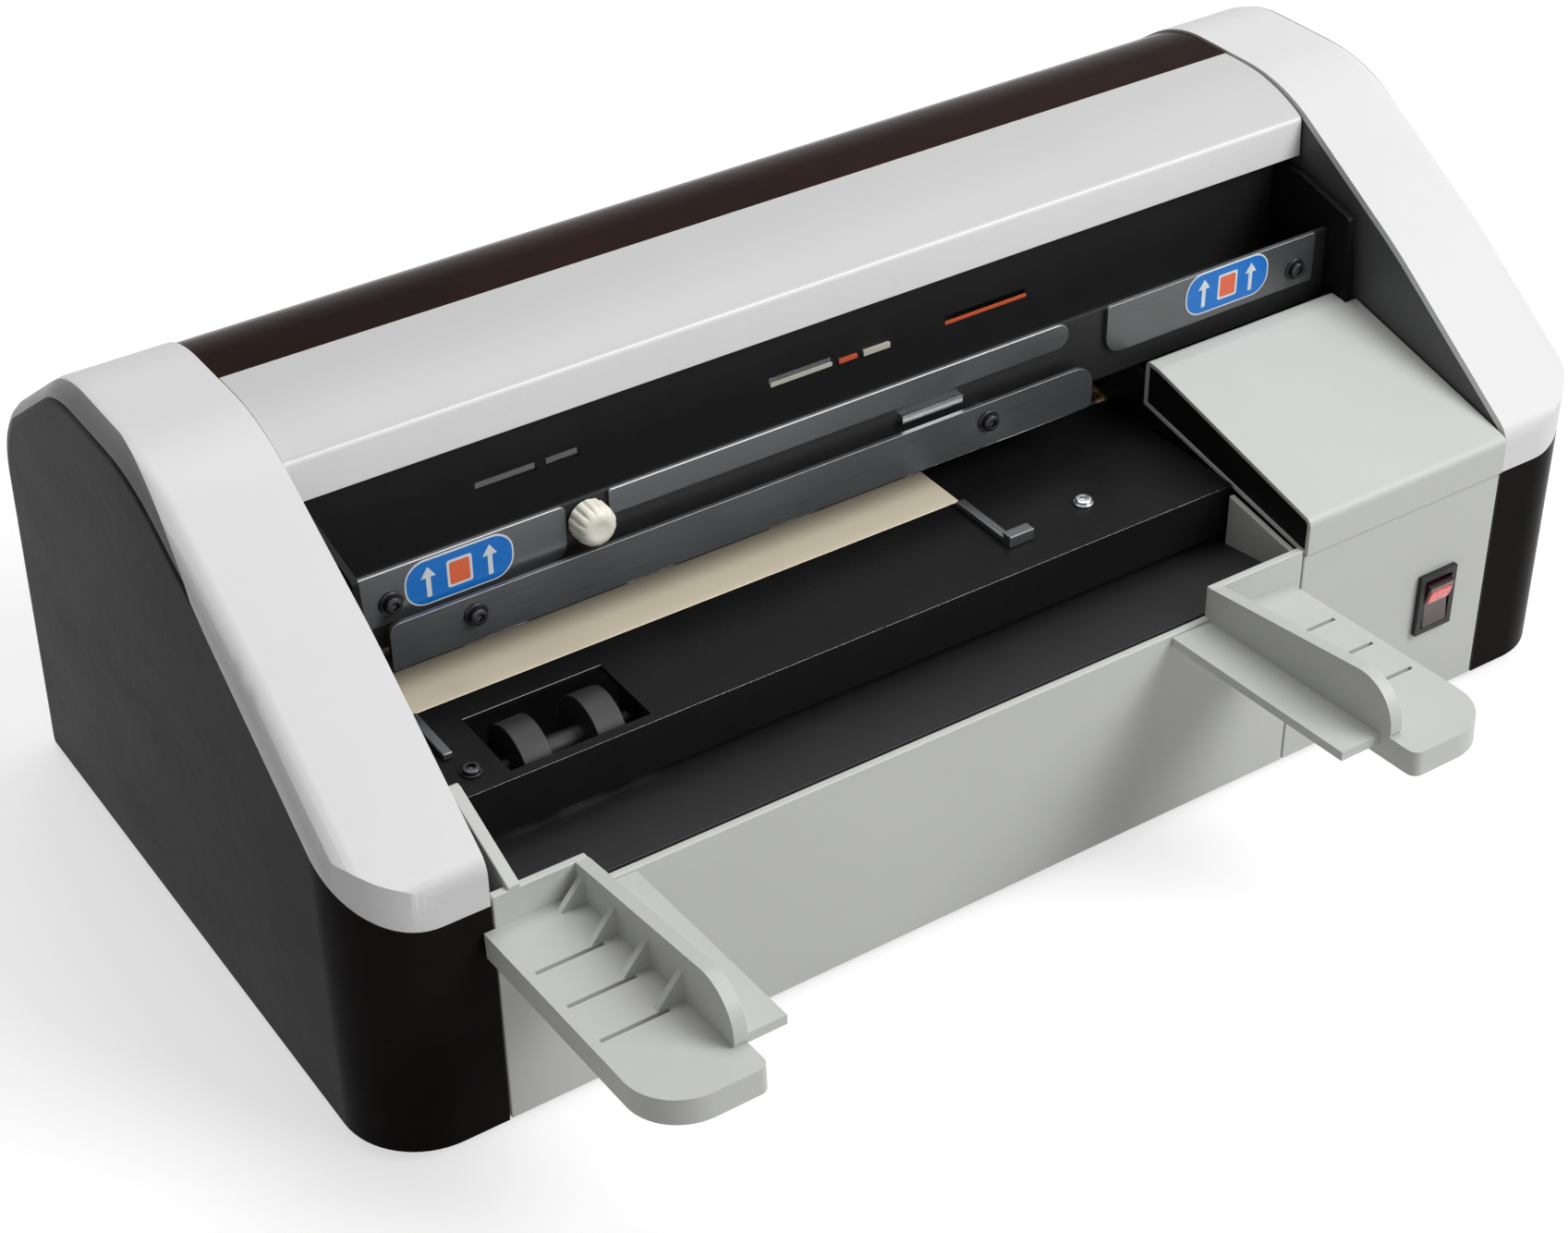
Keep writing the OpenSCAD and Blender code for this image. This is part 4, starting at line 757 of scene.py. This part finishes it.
def layers(x, z):
    """The label's layers around its middle: name, outline, height over the plate, ink."""
    foot = z - arrow_sizes["tall"] / 2
    return (("rim", pill(*around(x, z, 16.8, 7.3), 6.4), 0.20, label_white),
            ("field", pill(*around(x, z, 16.3, 6.8), 5.9), 0.26, label_blue),
            ("arrow_a", arrow(x - 9.6, foot, **arrow_sizes), 0.32, label_white),
            ("arrow_b", arrow(x + 9.4, foot, **arrow_sizes), 0.32, label_white),
            ("frame", pill(*around(x, z, 3.9, 4.4), 0.8, 4), 0.32, label_white),
            ("square", pill(*around(x, z, 3.1, 3.6), 0.6, 4), 0.38, label_orange))


arrow_sizes = {"tall": 9.8, "head": 4.6, "stem": 1.5}
for side_name, x, z in (("left", -140.8, 124.5), ("right", 131.8, 125.3)):
    for part, outline, thick, ink in layers(x, z):
        trim("label_%s_%s" % (side_name, part), outline, BAR, thick, ink, "white_nylon")
print("labels: 2")

# %% [markdown]
# ## Small parts in the recess
# The wall at the back of the recess shows short strips, two pale and two orange, in its slots. What they
# belong to can't be seen, so they are plain blocks of the right size. A ground steel block sits under the
# long guide bar.

# %% Recess trims
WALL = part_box("inner_cover")[1][1] - 1.5 * MM
SET_BACK = WALL + 0.3 * MM
BEAM = BAR + 1.5 * MM
nylon, steel = finishes["white_nylon"], finishes["bright_steel"]
for name, x, z, back, thick, material, slot in (
        ("wall_strip_white", (-20.6, 1.6), (126.2, 127.6), SET_BACK, 0.5, nylon, "white_nylon"),
        ("wall_bit_orange", (3.8, 10.5), (126.2, 127.7), WALL, 0.6, label_orange, "red_plastic"),
        ("wall_block_white", (12.6, 22.4), (126.0, 127.9), WALL, 0.9, nylon, "white_nylon"),
        ("wall_strip_orange", (43.4, 74.6), (126.3, 127.4), SET_BACK, 0.5, label_orange, "red_plastic"),
        ("bar_block", (7.0, 29.0), (118.3, 121.2), BEAM, 2.0, steel, "bright_steel")):
    trim(name, pill(x, z, 0.3, 3), back, thick, material, slot, rim=0.12)
print("wall at", round(WALL, 4), "beam at", round(BEAM, 4))

# %% [markdown]
# ## Rocker with a painted highlight
# The switch's rocker is a dark smoky red. A bright red lens that glows a little sits in its upper half; its
# red and its glow are a painted highlight. The lens tilts with the face it sits in, so it is built flat, as a
# low cushion of three rings, and then turned by the rocker's own slope. It rides on the rocker's body, so it
# tilts with it when the switch is pressed.

# %% Rocker and lens
print("rounded", *dress("switch_rocker", 0.5, pick=lambda face: 1, also=(rocker_dark,)))
rocker_low, rocker_high = (Vector(corner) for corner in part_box("switch_rocker"))
pivot = Vector(((rocker_low.x + rocker_high.x) / 2, FRONT + 1.5 * MM, 42 * MM))
PRESSED, FACE_SLOPE = math.radians(7), math.atan2(1.6, 8.25)
FACE_OUT = 3.0
LENS_HALF, LENS_LOW, LENS_HIGH = 4.6, 0.9, 6.3
lens_middle, lens_rise = (LENS_LOW + LENS_HIGH) / 2, (LENS_HIGH - LENS_LOW) / 2
lens_outline = pill((-LENS_HALF, LENS_HALF), (LENS_LOW, LENS_HIGH), 0.9, 5)
lens = bmesh.new()


def lens_ring(lift, inset):
    """The lens's outline, lifted off the rocker's face and drawn in by the inset."""
    wide, tall = 1 - inset / LENS_HALF, 1 - inset / lens_rise
    return [lens.verts.new(Vector((x * wide, -FACE_OUT - lift, lens_middle + (z - lens_middle) * tall)) * MM)
            for x, z in lens_outline]


rings = [lens_ring(-0.6, 0), lens_ring(0.25, 0), lens_ring(0.45, 0.2)]
for low, high in zip(rings, rings[1:]):
    for k in range(len(low)):
        n = (k + 1) % len(low)
        lens.faces.new((low[k], low[n], high[n], high[k]))
lens.faces.new(rings[-1])
lens.faces.new(rings[0][::-1])
bmesh.ops.recalc_face_normals(lens, faces=lens.faces)
on_face = Vector((0, -FACE_OUT * MM, 0))
slope = Matrix.Translation(on_face) @ Matrix.Rotation(FACE_SLOPE, 4, "X") @ Matrix.Translation(-on_face)
lens.transform(Matrix.Translation(pivot) @ Matrix.Rotation(PRESSED, 4, "X") @ slope)
# the lens's red and glow are a painted highlight on the rocker's upper half
lens_red_highlight = lens_painted_highlight("lens_red_highlight", (0.72, 0.05, 0.035))
add_piece("rocker_lens_highlight", lens, lens_red_highlight, body_of("switch_rocker"), "red_plastic")
print("lens on", body_of("switch_rocker"))

# %% [markdown]
# ## The nodes that stay
# Gears, shafts, sleeves and discs have the right shape already. They only take their finish.

# %% Finishes on the nodes that stay
for name, thing in frame["nodes"].items():
    thing.data.materials.clear()
    thing.data.materials.append(finishes[slot_of(name)])
print("finished nodes:", len(frame["nodes"]))

# %% [markdown]
# ## Floor and background
# The photograph is a cut-out on white. More light would make the floor white too, but it would bleach the
# machine. So the floor and the world shine white only for rays that come from the camera, off a mirror or
# through glass, and the floor's own grey still takes the machine's shadow.

# %% Floor
FLOOR_REACH = 6
FLOOR_SHINE = 0.62  # under 1, because the lamps light the floor as well


def pale_rays(bench):
    """1 for the rays that should see a white background: from the camera, off mirrors and through glass."""
    kinds = [bench.node("ShaderNodeLightPath", output="Is %s Ray" % kind)
             for kind in ("Camera", "Glossy", "Transmission")]
    return (kinds[0] + kinds[1] + kinds[2]).clamp()


bm = bmesh.new()
bmesh.ops.create_grid(bm, x_segments=1, y_segments=1, size=FLOOR_REACH)
floor_mesh = bpy.data.meshes.new("floor")
bm.to_mesh(floor_mesh)
bm.free()
floor = bpy.data.objects.new("floor", floor_mesh)
bpy.context.scene.collection.objects.link(floor)
b = Bench("floor_white")
floor_mesh.materials.append(b.finish({
    "Base Color": b.blend(b.noise(40, 4), (0.50, 0.50, 0.50, 1), (0.53, 0.53, 0.53, 1)),
    "Emission Color": b.blend(pale_rays(b), (0, 0, 0, 1), (1, 1, 1, 1)),
}, Roughness=0.9, Emission_Strength=FLOOR_SHINE))
print("floor:", 2 * FLOOR_REACH, "m wide")

# %% Background
AMBIENT = 0.15
world = bpy.data.worlds.new("studio")
bpy.context.scene.world = world
sky = Bench("sky", world)
strength = pale_rays(sky) * (1 - AMBIENT) + AMBIENT
sky.end(sky.node("ShaderNodeBackground", {}, {"Color": (1, 1, 1, 1), "Strength": strength}),
        "ShaderNodeOutputWorld")
print("ambient light:", AMBIENT)

# %% [markdown]
# ## Lights
# The photograph's light is soft and comes from the front right and from above: the side that faces left is
# dark, and the tops are a little brighter than the front. Large area lamps give that soft shading; point
# lamps would draw hard shadows. The power of each is in watts.

# %% Lights
MACHINE_MIDDLE = Vector((0, 0, 0.06))


def softbox(name, place, size, power):
    """An area lamp that looks at the machine."""
    data = bpy.data.lights.new(name, "AREA")
    data.shape, data.size, data.size_y, data.energy = "RECTANGLE", size[0], size[1], power
    lamp = bpy.data.objects.new(name, data)
    lamp.location = place
    lamp.rotation_euler = (MACHINE_MIDDLE - Vector(place)).to_track_quat("-Z", "Y").to_euler()
    bpy.context.scene.collection.objects.link(lamp)


softbox("key", (0.95, -1.2, 1.42), (1.1, 1.0), 31)
softbox("overhead", (0.25, 0.35, 1.8), (1.4, 0.8), 13)
softbox("fill", (-1.4, -1.2, 0.7), (1.0, 0.8), 1.5)
bpy.context.scene.view_settings.view_transform = "Standard"
print("lights:", len(bpy.data.lights))
